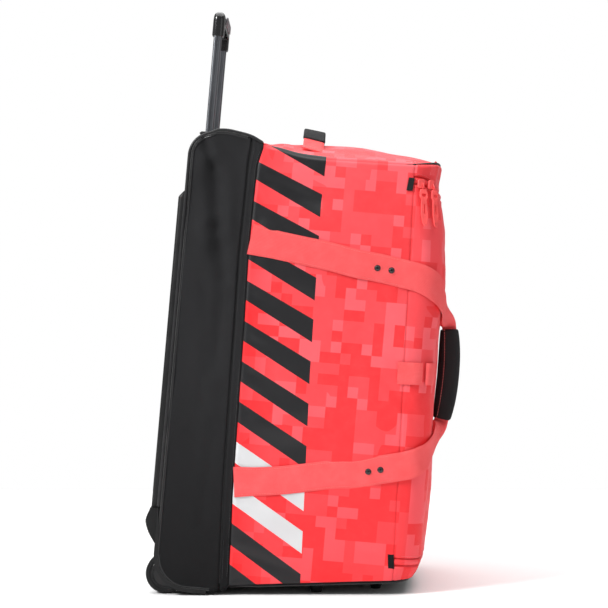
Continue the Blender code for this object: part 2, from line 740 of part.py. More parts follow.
def strap_face(stations, u, s):
    """How far out the strap's outer face is at a place on the bag's side."""
    near = sorted(stations, key=lambda station: (station[0].x - u) ** 2 + (station[0].z - s) ** 2)[:2]
    return max(abs(station[0].y) for station in near) + STRAP_THICK / 2


def carry_handles(frame):
    for side, word in ((-1, "left"), (1, "right")):
        stations = strap_stations(side)
        add(f"carry_strap_{word}", loft(ribbon(stations)), (CORAL, 0.7), frame)
        for number, (du, ds) in enumerate(RIVET_ROWS):
            u, s = body_depth(du), ds * LENGTH
            seat = strap_face(stations, u, s) + GAP
            rings = []
            for radius, high in ((1.0, 0.0), (0.85, 0.6), (0.4, 1.0)):
                ring = [(u + RIVET / 2 * radius * math.cos(t), side * (seat + RIVET_HIGH * high),
                         s + RIVET / 2 * radius * math.sin(t)) for t in (math.pi * k / 4 for k in range(8))]
                rings.append(ring)
            add(f"rivet_{word}_{number + 1}", loft(rings), (BLACK, 0.35), frame)
    stations = []
    for t in (-1, -0.75, -0.4, 0, 0.4, 0.75, 1):
        along = (grip_line(t + 0.05) - grip_line(t - 0.05)).normalized()
        sideways = Vector((0, 1, 0))
        stations.append((grip_line(t), sideways.cross(along), sideways, 1 - GRIP_TAPER * abs(t) ** 3))
    room = (FOLDED + 4 * GAP, 2 * FOLDED_THICK + GAP + 4 * GAP)
    add("carry_grip", sleeve(stations, room, (GRIP_ACROSS, GRIP_THROUGH)), (BLACK, 0.75), frame)


def handle_curve(y):
    """The top handle's middle line over the end panel, at a place across the bag."""
    reach = HANDLE_REACH / 2
    share = abs(y) / reach
    free = max(0.0, 1 - (share / 0.82) ** 2.6)
    seat = top(HANDLE_U, y) + HANDLE_SEAT + STRAP_THICK / 2
    return Vector((HANDLE_U, y, seat + HANDLE_RISE * free**0.8))


def handle_across(y):
    """The top handle's cross direction, laid to the end panel's slope."""
    reach = HANDLE_WEB / 2
    return Vector((2 * reach, 0, top(HANDLE_U + reach, y) - top(HANDLE_U - reach, y))).normalized()


def top_handle(frame):
    reach = HANDLE_REACH / 2
    wrap = WRAP_LENGTH / 2
    places = [-1, -0.91, -0.82, -0.74, -0.64, -0.54, -0.44]
    across = [share * reach for share in places] + [-wrap, -0.6 * wrap, -0.2 * wrap]
    across += [-y for y in reversed(across)]
    stations = [(handle_curve(y), handle_across(y), HANDLE_WEB, STRAP_THICK) for y in across]
    add("top_handle_webbing", loft(ribbon(stations)), (CORAL, 0.7), frame)
    held = []
    for y in (-wrap, -0.6 * wrap, -0.2 * wrap, 0.2 * wrap, 0.6 * wrap, wrap):
        along = (handle_curve(y + 0.004) - handle_curve(y - 0.004)).normalized()
        first = handle_across(y)
        held.append((handle_curve(y), first, along.cross(first), 1))
    room = (HANDLE_WEB + 2 * GAP, STRAP_THICK + 4 * GAP)
    add("top_handle_wrap", sleeve(held, room, (room[0] + 2 * WRAP_WALL, room[1] + 2 * WRAP_WALL), 2),
        (BLACK, 0.75), frame)


def corner_point(s, degrees, out):
    """A point off the front corner, out from the skin, with the direction that it faces."""
    u = front(way_up(0.9 * DEPTH, s)) - FRONT_RADIUS
    middle = side_at(u, s) - FRONT_RADIUS
    angle = math.radians(degrees)
    reach = FRONT_RADIUS + out
    return (u + reach * math.sin(angle), middle + reach * math.cos(angle)), (math.sin(angle), math.cos(angle))


def skin_point(u, s, out):
    """A point off the side or its front corner at a given depth, with the direction that it faces."""
    corner_u = front(way_up(0.9 * DEPTH, s)) - FRONT_RADIUS
    if u <= corner_u:
        return (u, side_at(u, s) + out), (0, 1)
    return corner_point(s, math.degrees(math.asin(min((u - corner_u) / FRONT_RADIUS, 1))), out)


def side_tab(frame, side, name):
    """A webbing tab sewn down on the side, raised in a short loop and sewn down again round the corner."""
    s = 0.507 * LENGTH
    lift = SEAT + TAB_THICK / 2
    rows = []
    for share in (0.829, 0.850, 0.868):
        u = share * DEPTH
        rows.append((u, side_at(u, s) + lift))
    for degrees, out in ((12, 0.002), (22, 0.005), (32, 0.005), (42, 0.002), (50, 0), (62, 0), (74, 0)):
        rows.append(corner_point(s, degrees, lift + 0.0006 + out)[0])
    rise = math.tan(math.radians(2.5))
    stations = [(Vector((u, side * y, s + rise * (u - rows[0][0]))), Vector((0, 0, 1)), TAB_HIGH, TAB_THICK)
                for u, y in rows]
    add(name, loft(ribbon(stations)), (CORAL, 0.7), frame)


# Zip fittings

def facing_plate(outline, thick, low, high, lift=(0, 0)):
    """A plate on the near side, from a place low on the skin to one high on it, turned to face out from the skin.

    The outline's second number is its height over the lower place. Lift is how far each end stands off."""
    (low_u, low_s), (high_u, high_s) = low, high
    (a, b), _ = skin_point(low_u, low_s, SEAT + lift[0])
    (c, d), facing = skin_point(high_u, high_s, SEAT + lift[1])
    first, last = Vector((a, -b, low_s)), Vector((c, -d, high_s))
    outward, across = Vector((facing[0], -facing[1], 0)), Vector((facing[1], facing[0], 0))
    rings = []
    for level in thick:
        rings.append([first.lerp(last, rise / (high_s - low_s)) + aside * across + level * outward
                      for aside, rise in outline])
    return loft(rings)


def zip_fittings(frame):
    """Two sliders near the zip's top end, with their moulded pullers hanging down."""
    slider_wide, slider_thick, slider_high = SLIDER
    wide, thick, long = PULLER
    half = wide / 2
    slot_wide, slot_long = PULLER_SLOT
    shape = rounded([(-half, long, 0.003), (-half, 0.22 * long, 0.003), (0, 0, 0.002), (half, 0.22 * long, 0.003),
                     (half, long, 0.003)], 2)
    slot = rectangle(slot_wide, slot_long, 0.4 * slot_wide, (0, 0.58 * long))
    middle = ZIP_TOP - ZIP_BAND / 2
    high = middle + slider_high / 2
    body = rectangle(slider_wide, slider_high, 0.001, (0, slider_high / 2))
    for number, (share, lift, puller_lift) in enumerate(FITTING_ROWS):
        u = share * DEPTH
        form = facing_plate(body, (0, slider_thick), (u, high - slider_high), (u, high), (lift, lift))
        add(f"zip_slider_{number + 1}", form, (BLACK, 0.4), frame)
        out = lift + slider_thick + puller_lift
        places = (u, high - long), (u, high)
        puller = add(f"zip_puller_{number + 1}", facing_plate(shape, (0, thick), *places, (out, out)),
                     (CORAL, 0.5), frame)
        cut(puller, facing_plate(slot, (-thick, 2 * thick), *places, (out, out)), f"puller_slot_{number + 1}")


def zip_end_tabs(frame):
    """Cloth tabs that cover the zip's two ends, on the near side."""
    wide, thick, high = END_TAB
    u = ZIP_BACK - wide / 2 - GAP
    for word, s, slant in (("top", ZIP_TOP - ZIP_BAND / 2, -1), ("bottom", ZIP_BOTTOM + ZIP_BAND / 2, 1)):
        tilt = slant * END_TAB_SLANT
        outline = [(-wide / 2 - tilt, 0), (wide / 2 - tilt, 0), (wide / 2 + tilt, high), (-wide / 2 + tilt, high)]
        form = facing_plate(outline, (0, thick), (u, s - high / 2), (u, s + high / 2), (-TAB_NEAR, -TAB_NEAR))
        add(f"zip_end_tab_{word}", form, (BLACK, 0.7), frame)


# Feet

def feet(root, frame):
    """Moulded feet: level underneath, and cut to the bottom panel's slope on top."""
    lean = Matrix.Rotation(LEAN, 3, "Y")
    for number, (du, y, wide, narrow) in enumerate(FOOT_STATIONS):
        u = du * DEPTH
        seat = lean @ Vector((u, 0, bottom(u))) + frame.location
        ahead = lean @ Vector((u + wide, 0, bottom(u + wide))) + frame.location
        slope = (ahead.z - seat.z) / (ahead.x - seat.x)
        for side, word in ((-1, "left"), (1, "right")):
            rings = []
            for radius, high in ((narrow / 2, 0.0), (0.97 * narrow / 2 + 0.03 * wide, 0.15), (wide / 2, 0.75),
                                 (wide / 2, 1.0)):
                ring = []
                for k in range(16):
                    angle = 2 * math.pi * k / 16
                    across, ahead_by = radius * math.sin(angle), radius * math.cos(angle)
                    level = seat.z + slope * ahead_by - GAP
                    ring.append((seat.x + ahead_by, side * y * WIDTH + across, high * level))
                rings.append(ring)
            add(f"foot_{'rear' if number == 0 else 'front'}_{word}", loft(rings), (BLACK, 0.6), root)


def centre(root):
    """Moves the whole bag so that its box stands over the origin."""
    bpy.context.view_layer.update()
    reach = [
        (thing.matrix_world @ vertex.co).x
        for thing in bpy.data.objects if thing.type == "MESH" and not thing.hide_render
        for vertex in thing.data.vertices
    ]
    root.location.x = -(min(reach) + max(reach)) / 2


def build():
    clear_scene()
    root = empty("bag")
    lift = WHEEL_RADIUS + WHEEL_U * math.sin(LEAN) - WHEEL_S * math.cos(LEAN)
    frame = empty("bag_frame", root, (0, 0, lift), LEAN)
    soft_body(frame)
    base(frame)
    for side, word in ((-1, "left"), (1, "right")):
        piping(frame, side, f"piping_{word}")
        rail(frame, side, f"skid_rail_{word}")
        housing(frame, side, f"wheel_housing_{word}")
        wheel(frame, side, word)
        side_tab(frame, side, f"side_tab_{word}")
    pull_handle(frame)
    handle_mount(frame)
    carry_handles(frame)
    top_handle(frame)
    zip_fittings(frame)
    zip_end_tabs(frame)
    feet(root, frame)
    centre(root)


build()
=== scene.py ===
# %% [markdown]
# # A wheeled travel bag
# The bag stands on its end, leaning a little. A black padded compartment at the back carries the wheels
# and the telescoping handle, and a soft patterned body hangs in front of it. This lesson dresses the
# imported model: hard pieces keep their shape and get a finish, and cloth is modelled afresh over the
# simple solids.

# %% Load the frame
import json
import math

import bmesh
import bpy
import numpy as np
from mathutils import Matrix, Vector


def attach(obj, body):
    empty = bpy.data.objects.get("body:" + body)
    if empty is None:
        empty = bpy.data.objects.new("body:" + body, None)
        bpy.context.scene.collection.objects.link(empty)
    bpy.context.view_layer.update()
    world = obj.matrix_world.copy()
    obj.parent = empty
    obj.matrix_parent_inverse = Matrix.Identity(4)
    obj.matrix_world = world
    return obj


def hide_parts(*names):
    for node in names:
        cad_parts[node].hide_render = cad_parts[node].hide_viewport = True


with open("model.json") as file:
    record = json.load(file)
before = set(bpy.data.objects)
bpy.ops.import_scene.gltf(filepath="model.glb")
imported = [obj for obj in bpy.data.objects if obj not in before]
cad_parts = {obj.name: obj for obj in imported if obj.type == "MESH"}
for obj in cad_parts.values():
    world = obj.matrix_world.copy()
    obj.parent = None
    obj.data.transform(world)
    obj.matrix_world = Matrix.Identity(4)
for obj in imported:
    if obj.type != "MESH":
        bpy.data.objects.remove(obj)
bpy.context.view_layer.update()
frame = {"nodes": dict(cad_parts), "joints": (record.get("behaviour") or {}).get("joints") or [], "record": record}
joints = {joint["name"]: joint for joint in frame["joints"]}
print("loaded", len(frame["nodes"]), "solids")

# %% [markdown]
# The bag has its own frame, which leans with it: u runs forward from the back face, y across and s up.
# Everything is modelled there and turned into the world at the end. The handle's slide gives the lean and
# a wheel gives the place.

# %% The bag's frame and its sizes
LENGTH, DEPTH, WIDTH = 0.820, 0.480, 0.400
HALF = WIDTH / 2
BASE_DEPTH = 0.108
STRIP_FRONT = BASE_DEPTH + 0.0203
SIDE_BULGE, FRONT_DOME, FRONT_RADIUS = 0.004, 0.014, 0.048
BACK_EDGE, END_ROUND = 0.006, 0.008
TOP_CORNER, BOTTOM_CORNER = 0.042, 0.062
ZIP_BAND = 0.012
ZIP_TOP, ZIP_BOTTOM, ZIP_BACK, ZIP_SLANT = 0.9283 * LENGTH, 0.0963 * LENGTH, 0.854 * DEPTH, 0.0333
CLOTH = 0.0022
WHEEL_U, WHEEL_S, WHEEL_RADIUS, WHEEL_WIDTH = 0.022, 0.026, 0.0355, 0.032

slide = joints["handle_slide"]["axis"]
LEAN = math.atan2(slide[0], slide[2])
turn = Matrix.Rotation(LEAN, 4, "Y")
wheel_at = Vector(joints["wheel_left_spin"]["pos_m"])
corner = Vector((wheel_at.x, 0, wheel_at.z)) - turn @ Vector((WHEEL_U, 0, WHEEL_S))
BAG = Matrix.Translation(corner) @ turn
print("lean", round(math.degrees(LEAN), 2), "corner", [round(c, 4) for c in corner])

# %% [markdown]
# The form follows short tables, each a share of the bag's depth or length: how high the ends are, how the
# bottom rises towards the front, and where the front bellies out.

# %% Tables of the form
# The top end from back to front: depth share, height of the top end, dome across it
END_ROWS = np.array((
    (0.000, 0.9868, 0.0040), (0.083, 0.9925, 0.0060), (0.130, 0.9950, 0.0073), (0.173, 0.9920, 0.0073),
    (0.225, 0.9856, 0.0080), (0.262, 0.9752, 0.0110), (0.280, 0.9700, 0.0140), (0.325, 0.9650, 0.0255),
    (0.400, 0.9560, 0.0385), (0.500, 0.9525, 0.0455), (0.573, 0.9530, 0.0458), (0.708, 0.9549, 0.0392),
    (0.833, 0.9575, 0.0275), (0.946, 0.9600, 0.0115), (1.020, 0.9580, 0.0050),
))
# How the bottom rises and the front bellies: depth share and height, then way up and depth share
FOOT_ROWS = np.array(((0.205, 0.0), (0.267, 0.0159), (1.020, 0.0666)))
FRONT_ROWS = np.array((
    (0.000, 0.979), (0.014, 0.988), (0.038, 1.002), (0.094, 1.010), (0.183, 1.015), (0.396, 0.998),
    (0.532, 0.997), (0.618, 0.995), (0.683, 1.002), (0.813, 0.988), (0.909, 0.971), (0.947, 0.955),
    (0.965, 0.945), (0.984, 0.950), (1.000, 0.951),
))
# Soft dents: depth share, length share, slant, half length, half width, depth as a share of the width
FOLD_ROWS = (
    (0.10, 0.90, 62, 0.110, 0.030, 0.0110), (0.13, 0.72, 84, 0.120, 0.026, 0.0090),
    (0.11, 0.33, 96, 0.160, 0.028, 0.0070), (0.46, 0.86, 20, 0.110, 0.040, 0.0090),
    (0.66, 0.52, 75, 0.130, 0.045, 0.0085), (0.52, 0.15, 12, 0.140, 0.035, 0.0080),
)


def smooth_table(rows, column, steps=12):
    """A smooth curve through a table's rows, as a function of the first column."""
    xs, ys = rows[:, 0], rows[:, column]
    slopes = np.gradient(ys, xs)
    fine_x, fine_y = [], []
    for i in range(len(xs) - 1):
        wide = xs[i + 1] - xs[i]
        for t in np.linspace(0, 1, steps, endpoint=False):
            fine_x.append(xs[i] + t * wide)
            fine_y.append(ys[i] * (1 + 2 * t) * (1 - t)**2 + slopes[i] * wide * t * (1 - t)**2
                          + ys[i + 1] * t * t * (3 - 2 * t) + slopes[i + 1] * wide * t * t * (t - 1))
    fine_x.append(xs[-1])
    fine_y.append(ys[-1])
    return lambda x: np.interp(x, fine_x, fine_y)


end_height, end_dome = smooth_table(END_ROWS, 1), smooth_table(END_ROWS, 2)
front_depth = smooth_table(FRONT_ROWS, 1)


def bottom(u):
    """The height of the bag's bottom at a depth."""
    return LENGTH * np.interp(u / DEPTH, FOOT_ROWS[:, 0], FOOT_ROWS[:, 1])


def top(u, y=HALF):
    """The height of the top end, with its dome across the width."""
    return LENGTH * (end_height(u / DEPTH) + end_dome(u / DEPTH) * np.maximum(0, 1 - (y / HALF)**2))


def front(w):
    """The depth of the front at a share of the way up, without its dome."""
    return DEPTH * front_depth(w) - FRONT_DOME


def hinge(s):
    """The depth of the seam behind the flap: it slants a little against the bag's own lean."""
    return ZIP_BACK - ZIP_SLANT * (s - LENGTH / 2)


# Where the seams draw the cloth: way up, shift forward at the base's seam, shift at the strip's front seam
SWAY = np.array((
    (0.000, 0.0126, 0.0081), (0.045, 0.0100, 0.0058), (0.132, 0.0058, 0.0026), (0.172, 0.0040, 0.0007),
    (0.255, 0.0018, -0.0010), (0.342, 0.0000, -0.0026), (0.466, -0.0020, -0.0049), (0.600, -0.0047, -0.0083),
    (0.695, -0.0031, -0.0077), (0.758, -0.0025, -0.0063), (0.790, 0.0000, 0.0014), (0.820, 0.0000, 0.0010),
))
SWAY_START, SWAY_START_LOW, SWAY_END = 0.03, 0.099, 0.24
ZIP_DIP, DIP_START, DIP_RAMP = 0.016, 0.415, 0.04
DIP_BELOW, DIP_ABOVE, DIP_FADE = 0.08, 0.022, 0.018


def pulled(u, y, s):
    """Where a place ends up once the seams draw the cloth: the strip sways and the zip dips."""
    low = SWAY_START + (SWAY_START_LOW - SWAY_START) * np.clip(1 - (s - 0.01) / 0.05, 0, 1)
    base, strip = (np.interp(s, SWAY[:, 0], SWAY[:, column]) for column in (1, 2))
    behind = base * np.clip((u - low) / (BASE_DEPTH - low), 0, 1)
    within = base + (strip - base) * (u - BASE_DEPTH) / (STRIP_FRONT - BASE_DEPTH)
    beyond = strip * np.clip((SWAY_END - u) / (SWAY_END - STRIP_FRONT), 0, 1)
    shift = np.where(u < BASE_DEPTH, behind, np.where(u < STRIP_FRONT, within, beyond))
    under = np.exp(-((s - ZIP_TOP) / DIP_BELOW)**2)
    above = np.clip((ZIP_TOP + DIP_ABOVE - s) / DIP_FADE, 0, 1)
    dip = ZIP_DIP * np.clip((u - DIP_START) / DIP_RAMP, 0, 1) * np.where(s < ZIP_TOP, under, above)
    return u + shift, y, s - dip


def corner_table():
    """Round corners of the side view: pairs of the way up and the depth of the back face there."""
    pairs = []
    for t in np.linspace(0, math.pi / 2, 40):
        u, s = BOTTOM_CORNER * (1 - math.sin(t)), BOTTOM_CORNER * (1 - math.cos(t))
        pairs.append((s / float(top(u)), u))
    high = LENGTH * END_ROWS[0, 1]
    for t in np.linspace(0, math.pi / 2, 40):
        u, s = TOP_CORNER * (1 - math.cos(t)), high - TOP_CORNER * (1 - math.sin(t))
        pairs.append((s / float(top(u)), u))
    return np.array(pairs)


CORNERS = corner_table()


def back(w):
    """How far the back face is set in at a share of the way up."""
    return float(np.interp(w, CORNERS[:, 0], CORNERS[:, 1]))


def half_width(u, w):
    """Half the width: the soft sides bulge a little between the ends."""
    ramp = np.interp(u, (BASE_DEPTH + 0.01, 0.625 * DEPTH), (0, 1))
    return HALF + SIDE_BULGE * ramp * max(0.0, math.sin(math.pi * min(max(w, 0), 1)))**0.35


def way_up(u, s):
    """The share of the way up the bag at a place on its side."""
    return float((s - bottom(u)) / (top(u) - bottom(u)))


def end_room(w):
    """Falls from 1 to 0 at both ends, so that no dent reaches an end seam."""
    return max(0.0, min(1.0, w / 0.1, (1 - w) / 0.1))


def fold(u, s):
    """How deep the soft dents are at a place."""
    deep = 0
    for du, ds, slant, long, wide, depth in FOLD_ROWS:
        across, up, tilt = u - du * DEPTH, s - ds * LENGTH, math.radians(slant)
        along = across * math.cos(tilt) + up * math.sin(tilt)
        over = up * math.cos(tilt) - across * math.sin(tilt)
        deep = deep + WIDTH * depth * np.exp(-(along / (long * LENGTH))**2 - (over / (wide * LENGTH))**2)
    return deep


print("top seam over the wheels", round(float(top(0.05)), 4))
print("front depth half way up", round(float(front(0.5)), 4))

# %% [markdown]
# Shader maths reads like arithmetic here. Wire holds a socket and turns +, -, * and / into Math nodes,
# and Paint makes any other node from its type, its settings and what goes into its sockets.

# %% Shader helpers
class Wire:
    def __init__(self, paint, socket):
        self.paint, self.socket = paint, socket

    def maths(self, operation, *others):
        return self.paint.node("ShaderNodeMath", {"operation": operation}, (self, *others))

    def __add__(self, other):
        return self.maths("ADD", other)

    def __sub__(self, other):
        return self.maths("SUBTRACT", other)

    def __rsub__(self, other):
        return self.paint.node("ShaderNodeMath", {"operation": "SUBTRACT"}, (other, self))

    def __mul__(self, other):
        return self.maths("MULTIPLY", other)

    def __truediv__(self, other):
        return self.maths("DIVIDE", other)

    def over(self, edge):
        return self.maths("GREATER_THAN", edge)

    def under(self, edge):
        return self.maths("LESS_THAN", edge)

    __radd__, __rmul__ = __add__, __mul__


class Paint:
    """One material and its node tree."""

    def __init__(self, name, **surface):
        self.material = bpy.data.materials.new(name)
        self.material.use_nodes = True
        self.tree = self.material.node_tree
        self.shader = self.tree.nodes["Principled BSDF"]
        for socket, value in surface.items():
            self.shader.inputs[socket.replace("_", " ")].default_value = value

    def node(self, kind, settings=None, values=(), output=0):
        made = self.tree.nodes.new(kind)
        for name, value in (settings or {}).items():
            setattr(made, name, value)
        pairs = values.items() if isinstance(values, dict) else enumerate(values)
        for socket, value in pairs:
            if isinstance(value, Wire):
                self.tree.links.new(value.socket, made.inputs[socket])
            else:
                made.inputs[socket].default_value = value
        return Wire(self, made.outputs[output])

    def place(self):
        return self.node("ShaderNodeTexCoord", output="Object")

    def cloth(self):
        return self.node("ShaderNodeUVMap", {"uv_map": "cloth"})

    # The seam value read here is painted shade in the seam dips
    def seam(self):
        return self.node("ShaderNodeAttribute", {"attribute_name": "seam"}, output="Fac")

    def part(self, vector):
        """The three numbers of a vector."""
        split = self.node("ShaderNodeSeparateXYZ", values=(vector,))
        return [Wire(self, socket) for socket in split.socket.node.outputs]

    def noise(self, vector, scale, detail=3, roughness=0.5):
        return self.node("ShaderNodeTexNoise", {"normalize": True},
                         {"Vector": vector, "Scale": scale, "Detail": detail, "Roughness": roughness}, "Fac")

    def mix(self, factor, first, second):
        return self.node("ShaderNodeMix", {"data_type": "RGBA"}, {"Factor": factor, 6: first, 7: second}, 2)

    def fit(self, value, low, high, new_low, new_high):
        return self.node("ShaderNodeMapRange", {"clamp": True}, (value, low, high, new_low, new_high))

    def bump(self, height, distance, strength=1.0, normal=None):
        values = {"Strength": strength, "Distance": distance, "Height": height}
        if normal:
            values["Normal"] = normal
        return self.node("ShaderNodeBump", values=values)

    def feed(self, **sockets):
        for socket, value in sockets.items():
            self.tree.links.new(value.socket, self.shader.inputs[socket.replace("_", " ")])
        return self.material


def grey(value):
    return (value, value, value * 1.06, 1)


print("shader helpers ready")

# %% [markdown]
# The body cloth is a coated weave, printed in three reds as a random patchwork of square and oblong
# blocks, with a band of slanting stripes beside the seam. A hash of each block's number picks its tone.
# Coarser grids then take over a share of the places, which gives the doubled and larger patches. The
# weave is two fine waves at right angles.

# %% Patterned cloth
BLOCK_U, BLOCK_S = 0.0182, 0.0192
DEEP_RED, MID_RED, LIGHT_RED = (0.82, 0.034, 0.040, 1), (0.85, 0.062, 0.072, 1), (0.87, 0.106, 0.125, 1)
BLACK_INK, WHITE_INK = (0.010, 0.010, 0.0115, 1), (0.60, 0.61, 0.62, 1)
# What mixes into the reds: wear, painted shade beside the strip and towards the bottom, painted light near the
# top, and painted shade in the seam dips
WORN_RED, STRIP_AND_LOW_SHADE_RED = (0.95, 0.30, 0.30, 1), (0.83, 0.014, 0.018, 1)
TOP_LIGHT_RED, SEAM_SHADE_RED = (0.90, 0.16, 0.18, 1), (0.45, 0.004, 0.006, 1)
STRIPE_TOP, STRIPE_DROP, STRIPE_PERIOD, STRIPE_FAN = 0.7617, 0.0500, 0.07028, 0.00275
STRIPE_HIGH, STRIPE_END = 0.0325, 0.1225
# Larger blocks: width and height in blocks, number for the hash, share of the places
LARGER_BLOCKS = ((2, 1, 11.0, 0.36), (1, 2, 23.0, 0.26), (2, 2, 37.0, 0.30), (3, 2, 53.0, 0.10))


def bag_places(paint):
    """The bag's own u, y and s at a point, from the object coordinates."""
    x, y, z = paint.part(paint.place())
    along, up = x - corner.x, z - corner.z
    return (along * math.cos(LEAN) - up * math.sin(LEAN), y, along * math.sin(LEAN) + up * math.cos(LEAN))


def weave(paint, vector, pitch, twist=0.35):
    """Plain weave: two square waves of thread, with some unevenness."""
    a, b, _ = paint.part(vector)
    warp = (a * (2 * math.pi / pitch)).maths("SINE")
    weft = (b * (2 * math.pi / pitch)).maths("SINE")
    rough = paint.noise(vector, 0.6 / pitch, 2)
    return warp * weft * 0.5 + rough * twist


def patterned_cloth():
    paint = Paint("patterned cloth", Specular_IOR_Level=0.2, Coat_Roughness=0.38)
    cloth = paint.cloth()
    across, up, _ = paint.part(cloth)
    ends = up.over(5)

    def tone(wide, high, shift):
        column = (across / (wide * BLOCK_U)).maths("FLOOR") + shift
        row = (up / (high * BLOCK_S)).maths("FLOOR") + 2 * shift
        cell = paint.node("ShaderNodeCombineXYZ", values=(column, row, 0.5))
        noise = paint.node("ShaderNodeTexWhiteNoise", {"noise_dimensions": "3D"}, {"Vector": cell}, "Color")
        red, green, _ = paint.part(noise)
        return red, green

    chosen, _ = tone(1, 1, 3.0)
    for wide, high, shift, share in LARGER_BLOCKS:
        level, pick = tone(wide, high, shift)
        use = pick.under(share)
        chosen = chosen * (1 - use) + level * use
    drift = paint.noise(cloth, 9, 1)
    chosen = chosen * 0.8 + drift * 0.2
    first = paint.mix(chosen.over(0.37), DEEP_RED, MID_RED)
    red = paint.mix(chosen.over(0.66), first, LIGHT_RED)

    u, y, s = bag_places(paint)
    share = (u - STRIP_FRONT) / STRIPE_END
    period = share * STRIPE_FAN + STRIPE_PERIOD
    number = (STRIPE_TOP - share * STRIPE_DROP - s) / period
    whole = number.maths("FLOOR")
    high = whole * 0.00055 + share * (0.0085 - whole * 0.00095) + STRIPE_HIGH
    inside = ((number - whole) * period).under(high)
    line = 0.2537 - s * 0.0211 + (0.40 - s).maths("MAXIMUM", 0) * 0.0202
    line = line + (s - 0.70).maths("MAXIMUM", 0) * 0.05
    striped = inside * u.under(line) * (1 - ends) * number.over(-1) * number.under(11)
    white = whole.over(6.5) * whole.under(8.5)
    ink = paint.mix(white, BLACK_INK, WHITE_INK)
    wear = paint.noise(cloth, 60, 4, 0.6)
    red = paint.mix(wear.maths("POWER", 3) * 0.12, red, WORN_RED)
    # Painted shade: the red deepens beside the strip and towards the bottom of the bag
    painted_shade = paint.fit(u, STRIP_FRONT, STRIP_FRONT + 0.06, 0.55, 0.0) + paint.fit(s, 0.05, 0.45, 0.36, 0.0)
    red = paint.mix(painted_shade, red, STRIP_AND_LOW_SHADE_RED)
    # Painted light: the red turns paler towards the top, where the overhead light falls
    red = paint.mix(paint.fit(s, 0.55, 0.80, 0.0, 0.16), red, TOP_LIGHT_RED)
    # Painted shade in the seam dips
    seam = paint.seam()
    red = paint.mix(seam * 0.75, red, SEAM_SHADE_RED)
    colour = paint.mix(striped, red, ink)
    height = weave(paint, cloth, 0.0011)
    rough = paint.fit(wear, 0.3, 0.7, 0.46, 0.58) - striped * 0.12
    normal = paint.bump(height, 0.00025, 0.55, paint.bump(paint.noise(cloth, 90, 3), 0.0006, 0.35))
    coat = striped * (1 - white) * 0.3
    return paint.feed(Base_Color=colour, Roughness=rough, Normal=normal, Coat_Weight=coat)


print("stripe period", STRIPE_PERIOD, "block", BLOCK_U, BLOCK_S)

# %% [markdown]
# The other finishes: coarse black pack cloth, ribbed coral webbing, moulded black plastic with a fine
# texture, gloss plastic, anodised tube drawn lengthwise, rubber, and the coral thread of the stitches.

# %% Cloth, webbing and thread
def black_cloth(name="black cloth", level=0.019, pitch=0.0016):
    paint = Paint(name, Sheen_Weight=0.02, Sheen_Roughness=0.35, Specular_IOR_Level=0.07)
    cloth = paint.cloth()
    height = weave(paint, cloth, pitch, 0.5)
    patch = paint.noise(cloth, 25, 4, 0.6)
    colour = paint.mix(paint.fit(height, -0.4, 0.7, 0.0, 1.0), grey(0.55 * level), grey(1.45 * level))
    colour = paint.mix(patch * 0.5, colour, grey(1.25 * level))
    # Painted shade: the black cloth is darker towards the bottom, where less light falls
    colour = paint.mix(paint.fit(bag_places(paint)[2], 0.0, 0.40, 0.62, 0.0), colour, grey(0.15 * level))
    # Painted shade in the seam dips
    seam = paint.seam()
    colour = paint.mix(seam * 0.85, colour, grey(0.1 * level))
    normal = paint.bump(height, 0.0005, 0.8, paint.bump(paint.noise(cloth, 70, 3), 0.0008, 0.35))
    return paint.feed(Base_Color=colour, Roughness=paint.fit(patch, 0.3, 0.7, 0.60, 0.78), Normal=normal)


def webbing(name="coral webbing", dark=(0.84, 0.066, 0.068, 1), light=(0.91, 0.145, 0.152, 1)):
    """Ribs run across the webbing, slightly staggered between its halves; the map's y runs across it."""
    paint = Paint(name, Specular_IOR_Level=0.2)
    cloth = paint.cloth()
    along, across, _ = paint.part(cloth)
    lane = (across * (2 * math.pi / 0.0024)).maths("SINE")
    rib = (along * (2 * math.pi / 0.0013) + lane * 0.9).maths("SINE")
    uneven = paint.noise(cloth, 45, 4, 0.6)
    colour = paint.mix(paint.fit(rib * 0.5 + uneven, 0.0, 1.1, 0.0, 1.0), dark, light)
    normal = paint.bump(rib * 0.6 + lane * 0.5, 0.00035, 0.7, paint.bump(uneven, 0.0007, 0.3))
    return paint.feed(Base_Color=colour, Roughness=paint.fit(uneven, 0.3, 0.7, 0.55, 0.72), Normal=normal)


def thread(name, colour):
    paint = Paint(name, Sheen_Weight=0.4)
    x, y, z = paint.part(paint.place())
    twist = ((x + y * 1.3 + z * 0.8) * 5200).maths("SINE")
    tint = paint.mix(paint.fit(twist, -1, 1, 0.25, 1.0), tuple(0.6 * c for c in colour[:3]) + (1,), colour)
    return paint.feed(Base_Color=tint, Roughness=paint.fit(twist, -1, 1, 0.5, 0.7),
                      Normal=paint.bump(twist, 0.0001, 0.6))


# %% [markdown]
# Moulded pieces share one finish with a level, a roughness and a grain. Rubber is rougher, enamel has a
# clear coat, and the tube's fine lines run along it.

# %% Plastics, metal and rubber
def moulded(name, level, roughness, grain=900, deep=0.00012, coat=0.0, tint=(1, 1, 1.06), shine=0.3):
    """Moulded plastic: a fine spark texture, rubbed a little smoother in patches."""
    paint = Paint(name, Coat_Weight=coat, Coat_Roughness=0.12, Specular_IOR_Level=shine)
    spot = paint.place()
    fine = paint.noise(spot, grain, 3, 0.7)
    broad = paint.noise(spot, 28, 4, 0.6)
    low, high = (tuple(level * share * c for c in tint) + (1,) for share in (0.8, 1.35))
    colour = paint.mix(paint.fit(broad, 0.3, 0.75, 0.0, 1.0), low, high)
    rough = paint.fit(broad, 0.3, 0.7, roughness * 0.85, min(roughness * 1.15, 0.95))
    return paint.feed(Base_Color=colour, Roughness=rough, Normal=paint.bump(fine, deep, 0.6))


